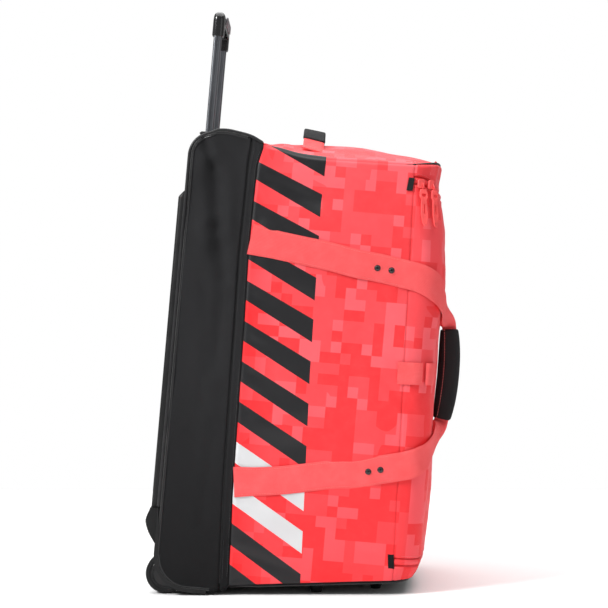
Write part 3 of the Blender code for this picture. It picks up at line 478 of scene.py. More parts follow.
def anodised():
    """Drawn aluminium: fine lines along the tube, under a dark anodised skin."""
    paint = Paint("anodised tube", Metallic=1.0)
    u, y, s = bag_places(paint)
    lines = paint.noise(paint.node("ShaderNodeCombineXYZ", values=(u * 900, y * 900, s * 6)), 1.0, 3, 0.6)
    cloud = paint.noise(paint.place(), 35, 3)
    colour = paint.mix(lines, (0.11, 0.115, 0.125, 1), (0.24, 0.25, 0.27, 1))
    return paint.feed(Base_Color=colour, Roughness=paint.fit(cloud + lines * 0.4, 0.4, 1.0, 0.30, 0.48),
                      Normal=paint.bump(lines, 0.00005, 0.5))


MADE = {
    "patterned_cloth": patterned_cloth(),
    "black_cloth": black_cloth(),
    "piping": moulded("piping cord", 0.016, 0.40, 900, 0.0002),
    "coral_webbing": webbing(),
    "coral_rubber": moulded("coral rubber", 1.0, 0.45, 700, 0.0001, tint=(0.84, 0.085, 0.085)),
    "black_plastic": moulded("moulded black plastic", 0.009, 0.46, shine=0.24),
    "grip_plastic": moulded("gloss black plastic", 0.010, 0.20, 300, 0.00003, coat=0.6),
    "grey_plastic": moulded("grey soft plastic", 0.17, 0.55),
    "hub_plastic": moulded("dark grey hub plastic", 0.016, 0.42),
    "tube_aluminium": anodised(),
    "steel": moulded("axle steel", 0.45, 0.3, 500, 0.00003),
    "rivet": moulded("black enamel", 0.014, 0.24, 400, 0.00003, coat=0.5),
    "tyre": moulded("tyre rubber", 0.010, 0.66, 600, 0.0002, shine=0.22),
}
CORAL_THREAD = thread("coral thread", (0.90, 0.16, 0.15, 1))
BLACK_THREAD = thread("black thread", (0.03, 0.03, 0.033, 1))
# A near-black cord finish that paints the shade in the groove inside the piping
GROOVE_SHADE_CORD = thread("seam thread", (0.003, 0.003, 0.003, 1))
MADE["steel"].node_tree.nodes["Principled BSDF"].inputs["Metallic"].default_value = 1.0
SLOTS = {row["node"]: row["material_slot"] for row in frame["record"]["subparts"]}
for name, solid in frame["nodes"].items():
    solid.data.materials.clear()
    solid.data.materials.append(MADE[SLOTS[name]])
print(len(MADE), "finishes on", len(SLOTS), "solids")

# %% [markdown]
# Every piece is made as a mesh in the bag's frame, turned into the world, hung on the body that it rides on
# and given the finish of its slot or a finish of its own, and the plain solids that it stands for are hidden. One
# helper does that for all of them.

# %% Placing a piece
def cloth_map(mesh, coordinates):
    """Writes the map named cloth from one (across, up) pair for each corner of each face."""
    layer = mesh.uv_layers.new(name="cloth")
    layer.data.foreach_set("uv", np.asarray(coordinates, float).ravel())


def added(name, data):
    """A new object in the scene."""
    made = bpy.data.objects.new(name, data)
    bpy.context.scene.collection.objects.link(made)
    return made


def settle(name, mesh, slot, body="bag", stands_for=(), material=None, angle=35):
    mesh.transform(BAG)
    made = added(name, mesh)
    mesh.shade_smooth()
    mesh.set_sharp_from_angle(angle=math.radians(angle))
    mesh.materials.clear()
    mesh.materials.append(material or MADE[slot])
    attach(made, body)
    if stands_for:
        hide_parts(*stands_for)
    return made


def plain(thing):
    """The object's mesh as its modifiers leave it."""
    depsgraph = bpy.context.evaluated_depsgraph_get()
    mesh = bpy.data.meshes.new_from_object(thing.evaluated_get(depsgraph))
    thing.modifiers.clear()
    return mesh


def taken(thing):
    """The plain mesh of a helper object, which goes."""
    bpy.context.view_layer.update()
    mesh = plain(thing)
    bpy.data.objects.remove(thing)
    return mesh


def mesh_of(form, name="form"):
    mesh = bpy.data.meshes.new(name)
    form.to_mesh(mesh)
    form.free()
    return mesh


def walled(mesh, thick):
    """Gives a sheet its thickness, inwards from the face that shows."""
    thing = added("wall", mesh)
    wall = thing.modifiers.new("wall", "SOLIDIFY")
    wall.thickness = thick
    wall.offset = -1
    return taken(thing)


def closed_mesh(form):
    bmesh.ops.remove_doubles(form, verts=form.verts, dist=1e-6)
    bmesh.ops.recalc_face_normals(form, faces=form.faces)
    return mesh_of(form)


def loft(rings, closed=False):
    """Joins rings of points, with both ends capped or the last ring joined to the first."""
    form = bmesh.new()
    rows = [[form.verts.new(point) for point in ring] for ring in rings]
    count = len(rows[0])
    for low, high in list(zip(rows, rows[1:])) + ([(rows[-1], rows[0])] if closed else []):
        for i in range(count):
            form.faces.new((low[i], low[(i + 1) % count], high[(i + 1) % count], high[i]))
    if not closed:
        form.faces.new(rows[0])
        form.faces.new(rows[-1])
    return form


def rounded(corners, steps=8):
    """Turns corners (a, b, radius) into an outline of lines and arcs."""
    outline = []
    for i, (a, b, radius) in enumerate(corners):
        here = Vector((a, b))
        if radius <= 0:
            outline.append((a, b))
            continue
        before = (Vector(corners[i - 1][:2]) - here).normalized()
        after = (Vector(corners[(i + 1) % len(corners)][:2]) - here).normalized()
        half = before.angle(after) / 2
        middle = here + (before + after).normalized() * radius / math.sin(half)
        first = here + before * radius / math.tan(half) - middle
        last = here + after * radius / math.tan(half) - middle
        for step in range(steps + 1):
            spoke = Matrix.Rotation(-first.angle_signed(last) * step / steps, 2) @ first
            outline.append(tuple(middle + spoke))
    return outline


def rectangle(wide, high, radius, middle=(0, 0), steps=6):
    a, b = middle
    signs = ((-1, -1), (1, -1), (1, 1), (-1, 1))
    return rounded([(a + i * wide / 2, b + j * high / 2, radius) for i, j in signs], steps)


def box_form(size, places=((0, 0, 0),)):
    """A small box at each place."""
    form = bmesh.new()
    for place in places:
        matrix = Matrix.Translation(place) @ Matrix.Diagonal((*size, 1))
        bmesh.ops.create_cube(form, size=1.0, matrix=matrix)
    return form


SIDES = ((-1, "left"), (1, "right"))
print("mesh helpers ready")

# %% [markdown]
# Stitches, zip teeth, ribs and rivets all repeat along a line. One Geometry Nodes tree walks any number
# of lines, drops a copy of a small shape at each step, turns it to the line and to the surface below, and
# makes the copies real. A second tree sweeps a round cord along a line, for piping and binding.

# %% Geometry Nodes trees
def new_tree(name, inputs):
    tree = bpy.data.node_groups.new(name, "GeometryNodeTree")
    tree.interface.new_socket("Geometry", in_out="INPUT", socket_type="NodeSocketGeometry")
    for label, kind, value in inputs:
        socket = tree.interface.new_socket(label, in_out="INPUT", socket_type="NodeSocket" + kind)
        if value is not None:
            socket.default_value = value
    tree.interface.new_socket("Geometry", in_out="OUTPUT", socket_type="NodeSocketGeometry")
    tree.nodes.new("NodeGroupInput")
    tree.nodes.new("NodeGroupOutput")
    return tree


def tree_node(tree, kind, settings, *links):
    made = tree.nodes.new(kind)
    for name, value in settings.items():
        setattr(made, name, value)
    for socket, source in links:
        if isinstance(source, bpy.types.NodeSocket):
            tree.links.new(source, made.inputs[socket])
        else:
            made.inputs[socket].default_value = source
    return made


def even_line(tree):
    """The tree's edges as curves, with points one step apart."""
    given = tree.nodes["Group Input"].outputs
    line = tree_node(tree, "GeometryNodeMeshToCurve", {}, ("Mesh", given["Geometry"]))
    even = tree_node(tree, "GeometryNodeResampleCurve", {"mode": "LENGTH"}, ("Curve", line.outputs[0]),
                     ("Length", given["Step"]))
    return even.outputs[0]


def tree_end(tree, source):
    """Makes copies real, gives them the material and ends the tree."""
    material = tree.nodes["Group Input"].outputs["Material"]
    real = tree_node(tree, "GeometryNodeRealizeInstances", {}, (0, source))
    coloured = tree_node(tree, "GeometryNodeSetMaterial", {}, (0, real.outputs[0]), ("Material", material))
    tree.links.new(coloured.outputs[0], tree.nodes["Group Output"].inputs[0])
    return tree


def copies_tree():
    """Copies of one small shape along lines, each turned to the line and to the surface below it."""
    tree = new_tree("copies along lines", (("Shape", "Object", None), ("Step", "Float", 0.004),
                                           ("Material", "Material", None)))
    given = tree.nodes["Group Input"].outputs
    even = even_line(tree)
    shape = tree_node(tree, "GeometryNodeObjectInfo", {}, ("Object", given["Shape"]))
    tangent = tree_node(tree, "GeometryNodeInputTangent", {})
    facing = tree_node(tree, "GeometryNodeInputNamedAttribute", {"data_type": "FLOAT_VECTOR"},
                       ("Name", "facing"))
    axes = {"primary_axis": "Z", "secondary_axis": "X"}
    turned = tree_node(tree, "FunctionNodeAxesToRotation", axes,
                       ("Primary Axis", facing.outputs[0]), ("Secondary Axis", tangent.outputs[0]))
    placed = tree_node(tree, "GeometryNodeInstanceOnPoints", {}, ("Points", even),
                       ("Instance", shape.outputs["Geometry"]), ("Rotation", turned.outputs[0]))
    return tree_end(tree, placed.outputs[0])


def sweep_tree():
    """A round cord along each line, with its ends closed."""
    tree = new_tree("cord along lines", (("Radius", "Float", 0.002), ("Step", "Float", 0.004),
                                         ("Sides", "Int", 10), ("Material", "Material", None)))
    given = tree.nodes["Group Input"].outputs
    even = even_line(tree)
    ring = tree_node(tree, "GeometryNodeCurvePrimitiveCircle", {}, ("Resolution", given["Sides"]),
                     ("Radius", given["Radius"]))
    cord = tree_node(tree, "GeometryNodeCurveToMesh", {}, ("Curve", even),
                     ("Profile Curve", ring.outputs[0]), ("Fill Caps", True))
    return tree_end(tree, cord.outputs[0])


COPIES, SWEEP = copies_tree(), sweep_tree()


def line_mesh(lines, facings=None):
    """Lines of points as bare edges, each point keeping the direction that the surface faces there."""
    mesh = bpy.data.meshes.new("lines")
    points, edges, ways = [], [], []
    for number, line in enumerate(lines):
        first = len(points)
        points += [tuple(point) for point in line]
        edges += [(first + i, first + i + 1) for i in range(len(line) - 1)]
        ways += [tuple(way) for way in facings[number]] if facings else [(0, 0, 1)] * len(line)
    mesh.from_pydata(points, edges, [])
    attribute = mesh.attributes.new("facing", "FLOAT_VECTOR", "POINT")
    attribute.data.foreach_set("vector", np.asarray(ways, float).ravel())
    return mesh


def grown(tree, mesh, **values):
    """Runs a tree on a mesh and returns the plain mesh that it makes."""
    thing = added("grown", mesh)
    modifier = thing.modifiers.new("grown", "NODES")
    modifier.node_group = tree
    for item in tree.interface.items_tree:
        if item.in_out == "INPUT" and item.name in values:
            modifier[item.identifier] = values[item.name]
    return taken(thing)


def shape_of(form):
    """A small shape for a tree to copy."""
    bmesh.ops.recalc_face_normals(form, faces=form.faces)
    return added("shape", mesh_of(form, "shape"))


def stitch_shape(long, thick):
    form = bmesh.new()
    bmesh.ops.create_uvsphere(form, u_segments=6, v_segments=4, radius=1.0)
    bmesh.ops.transform(form, matrix=Matrix.Rotation(math.pi / 2, 4, "Y"), verts=form.verts)
    bmesh.ops.scale(form, vec=(long / 2, thick / 2, thick / 2), verts=form.verts)
    return shape_of(form)


def rows_of(shape, name, lines, facings, step, slot, material, body="bag"):
    """Copies of a shape along lines, as one piece."""
    mesh = grown(COPIES, line_mesh(lines, facings), Shape=shape, Step=step, Material=material)
    bpy.data.objects.remove(shape)
    return settle(name, mesh, slot, body, material=material)


def stitched(name, lines, facings, long, thick, step, slot="coral_webbing", thread_used=CORAL_THREAD):
    """Rows of stitches of one length and thickness."""
    rows_of(stitch_shape(long, thick), name, lines, facings, step, slot, thread_used)


def corded(name, lines, radius, slot, step=0.004, sides=12, body="bag", stands_for=(), material=None):
    mesh = grown(SWEEP, line_mesh(lines), Radius=radius, Step=step, Sides=sides,
                 Material=material or MADE[slot])
    form = bmesh.new()
    form.from_mesh(mesh)
    bmesh.ops.recalc_face_normals(form, faces=form.faces)
    layer = form.loops.layers.uv.new("cloth")
    for face in form.faces:
        for loop in face.loops:
            spot = loop.vert.co
            loop[layer].uv = (spot.z + spot.x, spot.y)
    form.to_mesh(mesh)
    form.free()
    return settle(name, mesh, slot, body, stands_for, material)


print("two trees:", COPIES.name, "and", SWEEP.name)

# %% [markdown]
# The whole skin is one grid of rings. Each ring runs from the middle of the back, round the far side and
# the front to the near side. Stations are packed closely beside each seam, so that the cloth can dip into
# it. The two end panels are grids between the same stations, so there is no pole anywhere.

# %% Stations round the bag
SEAM_STEPS = (0.0008, 0.0017, 0.0028, 0.0042, 0.0062, 0.009)
BACK_STEPS, CORNER_STEPS, FRONT_STEPS, BODY_STEPS, BASE_STEPS, EDGE_STEPS = 26, 16, 26, 50, 15, 5


def beside(place, low, high):
    """Stations packed closely on both sides of a seam, kept between two limits."""
    spots = [place - step for step in SEAM_STEPS[::-1]] + [place] + [place + step for step in SEAM_STEPS]
    return [spot for spot in spots if low < spot < high]


SEAM_STATIONS = beside(BASE_DEPTH, 0, BASE_DEPTH + 0.0095) + [(BASE_DEPTH + STRIP_FRONT) / 2]
SEAM_STATIONS += beside(STRIP_FRONT, STRIP_FRONT - 0.0095, 1)


def half_ring(w, inset):
    """Half a ring in u and y, from the middle of the back to the middle of the front."""
    deep, reach = back(w), front(w) - inset
    corner_u = reach - FRONT_RADIUS
    edge = float(half_width(deep, w)) - inset
    ease = lambda count: np.sin(np.linspace(0, math.pi / 2, count, endpoint=False))
    points = [(deep, share * (edge - BACK_EDGE)) for share in ease(BACK_STEPS)]
    for t in np.linspace(0, math.pi / 2, EDGE_STEPS, endpoint=False):
        points.append((deep + BACK_EDGE * (1 - math.cos(t)), edge - BACK_EDGE * (1 - math.sin(t))))
    first, last = deep + BACK_EDGE, SEAM_STATIONS[0]
    sides = [first + share * (last - first) for share in np.linspace(0, 1, BASE_STEPS, endpoint=False)]
    sides += SEAM_STATIONS
    sides += [SEAM_STATIONS[-1] + share * (corner_u - SEAM_STATIONS[-1])
              for share in np.linspace(0, 1, BODY_STEPS + 1)[1:-1]]
    room = end_room(w)
    for u in sides:
        s = bottom(u) + w * (top(u) - bottom(u))
        points.append((u, float(half_width(u, w) - inset - room * fold(u, s))))
    s = bottom(corner_u) + w * (top(corner_u) - bottom(corner_u))
    middle = float(half_width(corner_u, w) - inset - room * fold(corner_u, s)) - FRONT_RADIUS
    for t in np.linspace(0, math.pi / 2, CORNER_STEPS + 1):
        points.append((corner_u + FRONT_RADIUS * math.sin(t), middle + FRONT_RADIUS * math.cos(t)))
    for share in np.linspace(1, 0, FRONT_STEPS + 1)[1:]:
        points.append((reach + FRONT_DOME * (1 - share**2), middle * share))
    return np.array(points)


def height_at(u, y, w):
    """The height of a ring's point: rings lie level below and take up the dome towards the top."""
    low = bottom(u)
    domed = top(u, y) - top(u)
    return low + w * (top(u) - low) + domed * w**6


def ring(w, inset=0.0):
    half = half_ring(w, inset)
    far = half[1:-1][::-1] * (1, -1)
    whole = np.vstack([half, far])
    return np.column_stack([whole[:, 0], whole[:, 1], height_at(whole[:, 0], whole[:, 1], w)])


ROW_STEP = 0.0062
round_share = END_ROUND / LENGTH
quarter = np.linspace(0, 1.5708, 7)
ring_rows = [((1 - math.cos(t)) * round_share, END_ROUND * (1 - math.sin(t))) for t in quarter]
close = 0.0031 / LENGTH
ring_rows += [(w, 0.0) for w in np.arange(round_share + close, 0.075, close)]
ring_rows += [(w, 0.0) for w in np.linspace(0.075, 0.935, int(0.86 * LENGTH / ROW_STEP))]
ring_rows += [(w, 0.0) for w in np.arange(0.935 + close, 1 - round_share, close)]
ring_rows += [(1 - (1 - math.sin(t)) * round_share, END_ROUND * (1 - math.cos(t))) for t in quarter]
rings = np.array([ring(w, inset) for w, inset in ring_rows])
print("skin grid", rings.shape)

# %% [markdown]
# The cloth is never flat. Broad, slow undulations come from smooth noise, short puckers gather along the
# seams, and a few drawn folds run where the padding pulls. Every amount is in metres, measured along the
# cloth's normal.

# %% Smooth noise and folds
RANDOM = np.random.default_rng(7)
LATTICE = RANDOM.uniform(-1, 1, (32, 32, 32))


def smooth_noise(points, size, shift=0.0):
    """Noise between -1 and 1 that changes over about the given size."""
    spots = points / size + shift
    cell = np.floor(spots).astype(int)
    part = spots - cell
    part = part * part * (3 - 2 * part)
    total = np.zeros(len(points))
    for i in (0, 1):
        for j in (0, 1):
            for k in (0, 1):
                weight = np.abs(1 - i - part[:, 0]) * np.abs(1 - j - part[:, 1]) * np.abs(1 - k - part[:, 2])
                total += weight * LATTICE[(cell[:, 0] + i) % 32, (cell[:, 1] + j) % 32, (cell[:, 2] + k) % 32]
    return total


# Drawn folds on both sides: start and end in u and s, half width, depth
CREASES = (
    (0.024, 0.795, 0.046, 0.748, 0.0070, 0.0060), (0.048, 0.744, 0.062, 0.650, 0.0115, 0.0090),
    (0.063, 0.640, 0.081, 0.560, 0.0120, 0.0085), (0.082, 0.552, 0.078, 0.400, 0.0120, 0.0050),
    (0.050, 0.600, 0.062, 0.330, 0.0090, 0.0016), (0.085, 0.300, 0.075, 0.120, 0.0080, 0.0016),
    (0.150, 0.735, 0.235, 0.700, 0.0080, 0.0018), (0.140, 0.690, 0.200, 0.640, 0.0080, 0.0016),
    (0.300, 0.770, 0.385, 0.735, 0.0085, 0.0020), (0.330, 0.700, 0.420, 0.640, 0.0080, 0.0016),
    (0.200, 0.545, 0.330, 0.490, 0.0110, 0.0014), (0.360, 0.420, 0.445, 0.330, 0.0100, 0.0022),
    (0.150, 0.330, 0.290, 0.300, 0.0100, 0.0014), (0.240, 0.170, 0.380, 0.120, 0.0100, 0.0020),
    (0.395, 0.560, 0.450, 0.600, 0.0080, 0.0020), (0.150, 0.075, 0.260, 0.050, 0.0080, 0.0016),
)


SIDE_FROM = 0.15


def creases(points):
    """How far the drawn folds sink the cloth."""
    total = np.zeros(len(points))
    for u0, s0, u1, s1, wide, deep in CREASES:
        way = np.array((u1 - u0, s1 - s0))
        offset = points[:, (0, 2)] - (u0, s0)
        t = np.clip(offset @ way / (way @ way), 0, 1)
        gap = np.linalg.norm(offset - t[:, None] * way, axis=1)
        total += deep * np.sin(math.pi * np.clip(0.1 + 0.8 * t, 0, 1))**0.6 * np.exp(-(gap / wide)**2)
        total -= 0.35 * deep * np.exp(-((gap - 2.2 * wide) / wide)**2)
    return total * (np.abs(points[:, 1]) > SIDE_FROM)


print(len(CREASES), "drawn folds")

# %% [markdown]
# The rings are joined into one closed mesh. Each point keeps its distance round the bag, for the cloth
# map, and its distance from the end seams. The rounded ends count as end panels.

# %% The skin as one mesh
def skin_form():
    """The whole skin, with each face's panel: 0 wall, 1 top end, 2 bottom end."""
    form = bmesh.new()
    panel = form.faces.layers.int.new("panel")
    arc = form.verts.layers.float.new("arc")
    rim = form.verts.layers.float.new("rim")
    count = rings.shape[1]
    half = count // 2
    girth = HALF - FRONT_RADIUS + FRONT_RADIUS * math.pi / 2 + DEPTH - FRONT_RADIUS
    rows = []
    for number, points in enumerate(rings):
        steps = np.linalg.norm(np.diff(points, axis=0, append=points[:1]), axis=1)
        run = np.concatenate([[0], np.cumsum(steps)[:-1]])
        run -= run[half]
        start = half - FRONT_STEPS - CORNER_STEPS
        shift = girth + run[start] - points[start, 0]
        run += np.sign(run) * shift * np.clip(np.abs(run / run[start]), 0, 1)**2
        row = []
        edge = min(abs(number - 3), abs(number - (len(rings) - 4)))
        for i, point in enumerate(points):
            vertex = form.verts.new(point)
            vertex[arc] = run[i]
            vertex[rim] = min(edge * 0.002 if edge < 4 else edge * ROW_STEP - 0.018, 0.1)
            row.append(vertex)
        rows.append(row)
    for low, high in zip(rows, rows[1:]):
        for i in range(count):
            form.faces.new((low[i], low[(i + 1) % count], high[(i + 1) % count], high[i]))
    sides = list(range(BACK_STEPS, half - FRONT_STEPS + 1))
    for row, w, kind in ((rows[-1], 1.0, 1), (rows[0], 0.0, 2)):
        end_panel(form, panel, rim, row, w, kind, sides, count)
    for face in form.faces:
        if face[panel] == 0:
            middle = face.calc_center_median()
            inset = min(vertex[rim] for vertex in face.verts)
            if inset < 0.007 and abs(face.normal.z) > 0.72:
                face[panel] = 1 if middle.z > LENGTH / 2 else 2
    bmesh.ops.recalc_face_normals(form, faces=form.faces)
    return form


def end_panel(form, panel, rim, row, w, kind, sides, count):
    """Fills one end with a grid between the ring's near and far stations."""
    half = count // 2
    backs = [row[i % count] for i in range(BACK_STEPS, -BACK_STEPS - 1, -1)]
    fronts = [row[i] for i in range(half - FRONT_STEPS, half + FRONT_STEPS + 1)]
    far, near = [row[i] for i in sides], [row[(count - i) % count] for i in sides]
    across = len(backs) - 1
    grid = [backs]
    plain_front = [fronts[0].co.lerp(fronts[-1].co, j / across) for j in range(across + 1)]
    for i in range(1, len(sides) - 1):
        u = far[i].co.x
        blend = min(max((u - STRIP_FRONT - 0.02) / (fronts[0].co.x - STRIP_FRONT - 0.02), 0), 1)
        line = [far[i]]
        for j in range(1, across):
            share = j / across
            spot = far[i].co.lerp(near[i].co, share)
            back_share = (backs[j].co.y - backs[0].co.y) / (backs[-1].co.y - backs[0].co.y)
            front_share = (fronts[j].co.y - fronts[0].co.y) / (fronts[-1].co.y - fronts[0].co.y)
            y = far[i].co.y + (near[i].co.y - far[i].co.y) * (back_share * (1 - blend) + front_share * blend)
            push = blend * (fronts[j].co.x - plain_front[j].x)
            vertex = form.verts.new((spot.x + push, y, float(height_at(spot.x + push, y, w))))
            vertex[rim] = 0.1
            line.append(vertex)
        line.append(near[i])
        grid.append(line)
    grid.append(fronts)
    for low, high in zip(grid, grid[1:]):
        for j in range(across):
            corners = list(dict.fromkeys((low[j], low[j + 1], high[j + 1], high[j])))
            if len(corners) > 2 and form.faces.get(corners) is None:
                form.faces.new(corners)[panel] = kind


skin = skin_form()
open_edges = [edge for edge in skin.edges if len(edge.link_faces) != 2]
print("skin faces", len(skin.faces), "open edges", len(open_edges))

# %% [markdown]
# Planes then slice the grid exactly where the zip, the hinge seam and the handle's opening run, with a
# few more cuts beside each line for the dip. After that each face belongs to one panel, and the panels
# are separate pieces.

# %% Cuts beside the zip and the handle opening
NEAR_LINE = (-0.0036, -0.0021, -0.0010, 0.0, 0.0010, 0.0021, 0.0036)
BEZEL_U, BEZEL_DEEP, BEZEL_WIDE = 0.0265, 0.0310, 0.2290
ZIP_LINES = (ZIP_TOP, ZIP_TOP - ZIP_BAND, ZIP_BOTTOM, ZIP_BOTTOM + ZIP_BAND)
HOLE_SIDES = [((BEZEL_U + way * BEZEL_DEEP / 2, 0, 0), (1, 0, 0)) for way in (-1, 1)]
HOLE_SIDES += [((0, way * BEZEL_WIDE / 2, 0), (0, 1, 0)) for way in (1, -1)]


def slice_at(form, spot, normal, wanted):
    """Cuts the faces that are wanted along a plane."""
    faces = [face for face in form.faces if wanted(face.calc_center_median())]
    edges = list({edge for face in faces for edge in face.edges})
    verts = list({vertex for face in faces for vertex in face.verts})
    bmesh.ops.bisect_plane(form, geom=verts + edges + faces, plane_co=spot, plane_no=normal, dist=2e-5)


for line in ZIP_LINES:
    for step in NEAR_LINE:
        slice_at(skin, (0, 0, line + step), (0, 0, 1),
                 lambda spot, at=line: spot.x > ZIP_BACK - 0.03 and abs(spot.z - at) < 0.03)
for line in (0, ZIP_BAND):
    for step in NEAR_LINE:
        slice_at(skin, (hinge(0) + line + step, 0, 0), (1, 0, ZIP_SLANT),
                 lambda spot, at=line: abs(spot.x - hinge(spot.z) - at) < 0.03 and abs(spot.y) > SIDE_FROM)
for spot, normal in HOLE_SIDES:
    slice_at(skin, spot, normal, lambda spot: spot.z > 0.76 and spot.x < 0.06 and abs(spot.y) < 0.13)
skin.normal_update()
print("skin faces after the cuts", len(skin.faces))

# %% [markdown]
# Each point then moves along its normal by the sum of undulations, folds, gathers and seam dips, and the
# seams pull it sideways. A seam value paints shade into the cloth in each dip. Every face gets its panel's name.

# %% Shaping the cloth
FLANGE_RIM, FLANGE_TOP, FLANGE_END, HOUSING_IN = 0.009, 0.145, 0.097, 0.1305
STRIP_SEAM = 0.0905
# Undulations of the body and of the base: height, size, place in the noise
BODY_WAVES = ((0.0026, 0.115, 3.3), (0.0019, 0.052, 8.1), (0.00085, 0.024, 1.7))
BASE_WAVES = ((0.0012, 0.085, 5.5), (0.0005, 0.035, 2.2))
# How deep each seam dips the cloth, how wide a dip is, and the raised cloth beside it
BASE_DIP, STRIP_DIP, END_DIP = 0.0026, 0.0016, 0.0012
ZIP_LINE_DIP, HINGE_DIP, SEAM_DIP = 0.0024, 0.0010, 0.0018
DIP_WIDE, BANK_AT, BANK_WIDE, BANK_SHARE = 0.0017, 0.0055, 0.0030, 0.22


def in_housing(u, s):
    """How deep a place lies under the corner moulding's rim, in metres."""
    radius = BOTTOM_CORNER
    if u < radius and s < radius:
        return math.hypot(radius - u, radius - s) - (radius - FLANGE_RIM)
    if s >= radius:
        share = max(0.0, 1 - (s - radius) / (FLANGE_TOP - radius))
        return FLANGE_RIM * share - u if s < FLANGE_TOP else -1
    return FLANGE_RIM - s if u < FLANGE_END else -1


def waves(places, rows):
    return sum(high * smooth_noise(places, size, shift) for high, size, shift in rows)


def shape_cloth(form):
    """Moves every point along its normal: undulation, drawn folds, puckers and the dip at each seam."""
    form.verts.ensure_lookup_table()
    rim = form.verts.layers.float["rim"]
    places = np.array([vertex.co for vertex in form.verts])
    normals = np.array([vertex.normal for vertex in form.verts])
    rims = np.array([vertex[rim] for vertex in form.verts])
    u, y, s = places.T
    side = np.abs(y) > SIDE_FROM
    body = np.clip((u - STRIP_FRONT) / 0.03, 0, 1)
    to_base, to_strip = np.abs(u - BASE_DEPTH), np.abs(u - STRIP_FRONT)
    free = np.clip(np.minimum(rims, np.minimum(to_base, to_strip)) / 0.02, 0, 1)
    off = body * free * waves(places, BODY_WAVES) + (1 - body) * free * waves(places, BASE_WAVES)
    off -= creases(places) * free
    phase = (s + 0.45 * (u - STRIP_FRONT)) * 2 * math.pi / 0.036
    gathers = np.sin(phase + 3.5 * smooth_noise(places, 0.06, 4.4))
    near_seam = np.exp(-np.abs(u - STRIP_FRONT - 0.014) / 0.016) * (u > STRIP_FRONT)
    off += 0.0015 * gathers * near_seam * side * free
    behind_flap = u - hinge(s)
    inside = (s > ZIP_BOTTOM) & (s < ZIP_TOP) & side
    strip = (u > BASE_DEPTH) & (u < STRIP_FRONT) & side
    dips = [(to_base, BASE_DIP), (to_strip, STRIP_DIP), (rims, END_DIP)]
    dips += [(np.where(behind_flap > -0.001, np.abs(s - line), 1), ZIP_LINE_DIP) for line in ZIP_LINES]
    dips += [(np.where(side & (s > 0.02), np.abs(behind_flap), 1), HINGE_DIP),
             (np.where(inside & (y > 0), np.abs(behind_flap - ZIP_BAND), 1), ZIP_LINE_DIP),
             (np.where(strip, np.abs(s - STRIP_SEAM), 1), SEAM_DIP)]
    # The seam value is painted shade: it darkens the cloth in each dip, where shade falls
    shade = np.zeros(len(places))
    for gap, depth in dips:
        off -= depth * np.exp(-(gap / DIP_WIDE)**2)
        off += BANK_SHARE * depth * np.exp(-((gap - BANK_AT) / BANK_WIDE)**2)
        shade = np.maximum(shade, min(depth / ZIP_LINE_DIP, 1) * np.exp(-(gap / 0.0015)**2))
    moved = np.column_stack(pulled(*(places + normals * off[:, None]).T))
    seam = form.verts.layers.float.new("seam")
    for vertex, spot, dark in zip(form.verts, moved, shade):
        vertex.co = spot
        vertex[seam] = dark


def labelled(form):
    """The name of the panel that each face belongs to."""
    panel = form.faces.layers.int["panel"]
    labels = []
    for face in form.faces:
        u, y, s = face.calc_center_median()
        wall = face[panel] == 0
        if u < BASE_DEPTH:
            hole = face[panel] == 1 and abs(u - BEZEL_U) < BEZEL_DEEP / 2 and abs(y) < BEZEL_WIDE / 2
            under = abs(y) > HOUSING_IN + 0.004 and in_housing(u, s) > (0.004 if abs(y) > 0.19 else -0.004)
            labels.append("" if hole or under else "base_cloth")
        elif u < STRIP_FRONT:
            labels.append("strip_cloth")
        elif wall and u > hinge(s) and ZIP_BOTTOM < s < ZIP_TOP:
            far_side = y > 0.1 and u < hinge(s) + ZIP_BAND
            across = ZIP_BOTTOM + ZIP_BAND < s < ZIP_TOP - ZIP_BAND
            labels.append("flap_cloth" if across and not far_side else "zip_cover")
        else:
            under = face[panel] == 2 or s - bottom(u) < 0.006
            labels.append("bottom_cloth" if under else "body_cloth")
    return labels


labels = labelled(skin)
shape_cloth(skin)
print({label: labels.count(label) for label in sorted(set(labels))})

# %% [markdown]
# Each panel becomes a piece with a real thickness and the map that weave and pattern follow.

# %% Panels as pieces
def panel_mesh(form, labels, wanted):
    """One panel as its own mesh with its cloth map: along the cloth and up, or across and along on an end."""
    panel = form.faces.layers.int["panel"]
    arc, seam = form.verts.layers.float["arc"], form.verts.layers.float["seam"]
    index, points, faces, maps, shades = {}, [], [], [], []
    for face, label in zip(form.faces, labels):
        if label != wanted:
            continue
        corners = []
        arcs = [loop.vert[arc] for loop in face.loops]
        wrap = max(arcs) - min(arcs) > 0.5
        for loop, run in zip(face.loops, arcs):
            vertex = loop.vert
            if vertex not in index:
                index[vertex] = len(points)
                points.append(vertex.co.copy())
                shades.append(vertex[seam])
            corners.append(index[vertex])
            if face[panel] == 0:
                maps.append((max(arcs) if wrap and run < 0 else run, vertex.co.z))
            else:
                maps.append((vertex.co.x, 10 + vertex.co.y))
        faces.append(corners)
    mesh = bpy.data.meshes.new(wanted)
    mesh.from_pydata(points, [], faces)
    cloth_map(mesh, maps)
    # The seam value carries the painted shade into the panel
    mesh.attributes.new("seam", "FLOAT", "POINT").data.foreach_set("value", shades)
    return mesh


PANELS = (
    ("base_cloth", "black_cloth", ("base_shell",)),
    ("strip_cloth", "black_cloth", ("base_zip_strip",)),
    ("body_cloth", "patterned_cloth", ("upper_shell",)),
    ("bottom_cloth", "black_cloth", ()),
    ("flap_cloth", "patterned_cloth", ("front_flap",)),
    ("zip_cover", "patterned_cloth", ("main_zip",)),
)
for name, slot, solids in PANELS:
    panel = settle(name, walled(panel_mesh(skin, labels, name), CLOTH), slot, stands_for=solids, angle=60)
    print(name, len(panel.data.polygons))
skin.free()

# %% [markdown]
# Piping edges the base's side panels: a cord in a cloth cover, swept along the edge from the rim over the
# top and down the back. Two more cords bind the front edges of the end panels.

# %% Piping and binding
PIPING, WELT, SHADE_CORD, BINDING = 0.0027, 0.0015, 0.0011, 0.0022
WELT_INSET, SHADE_CORD_INSET = 0.0074, 0.0046


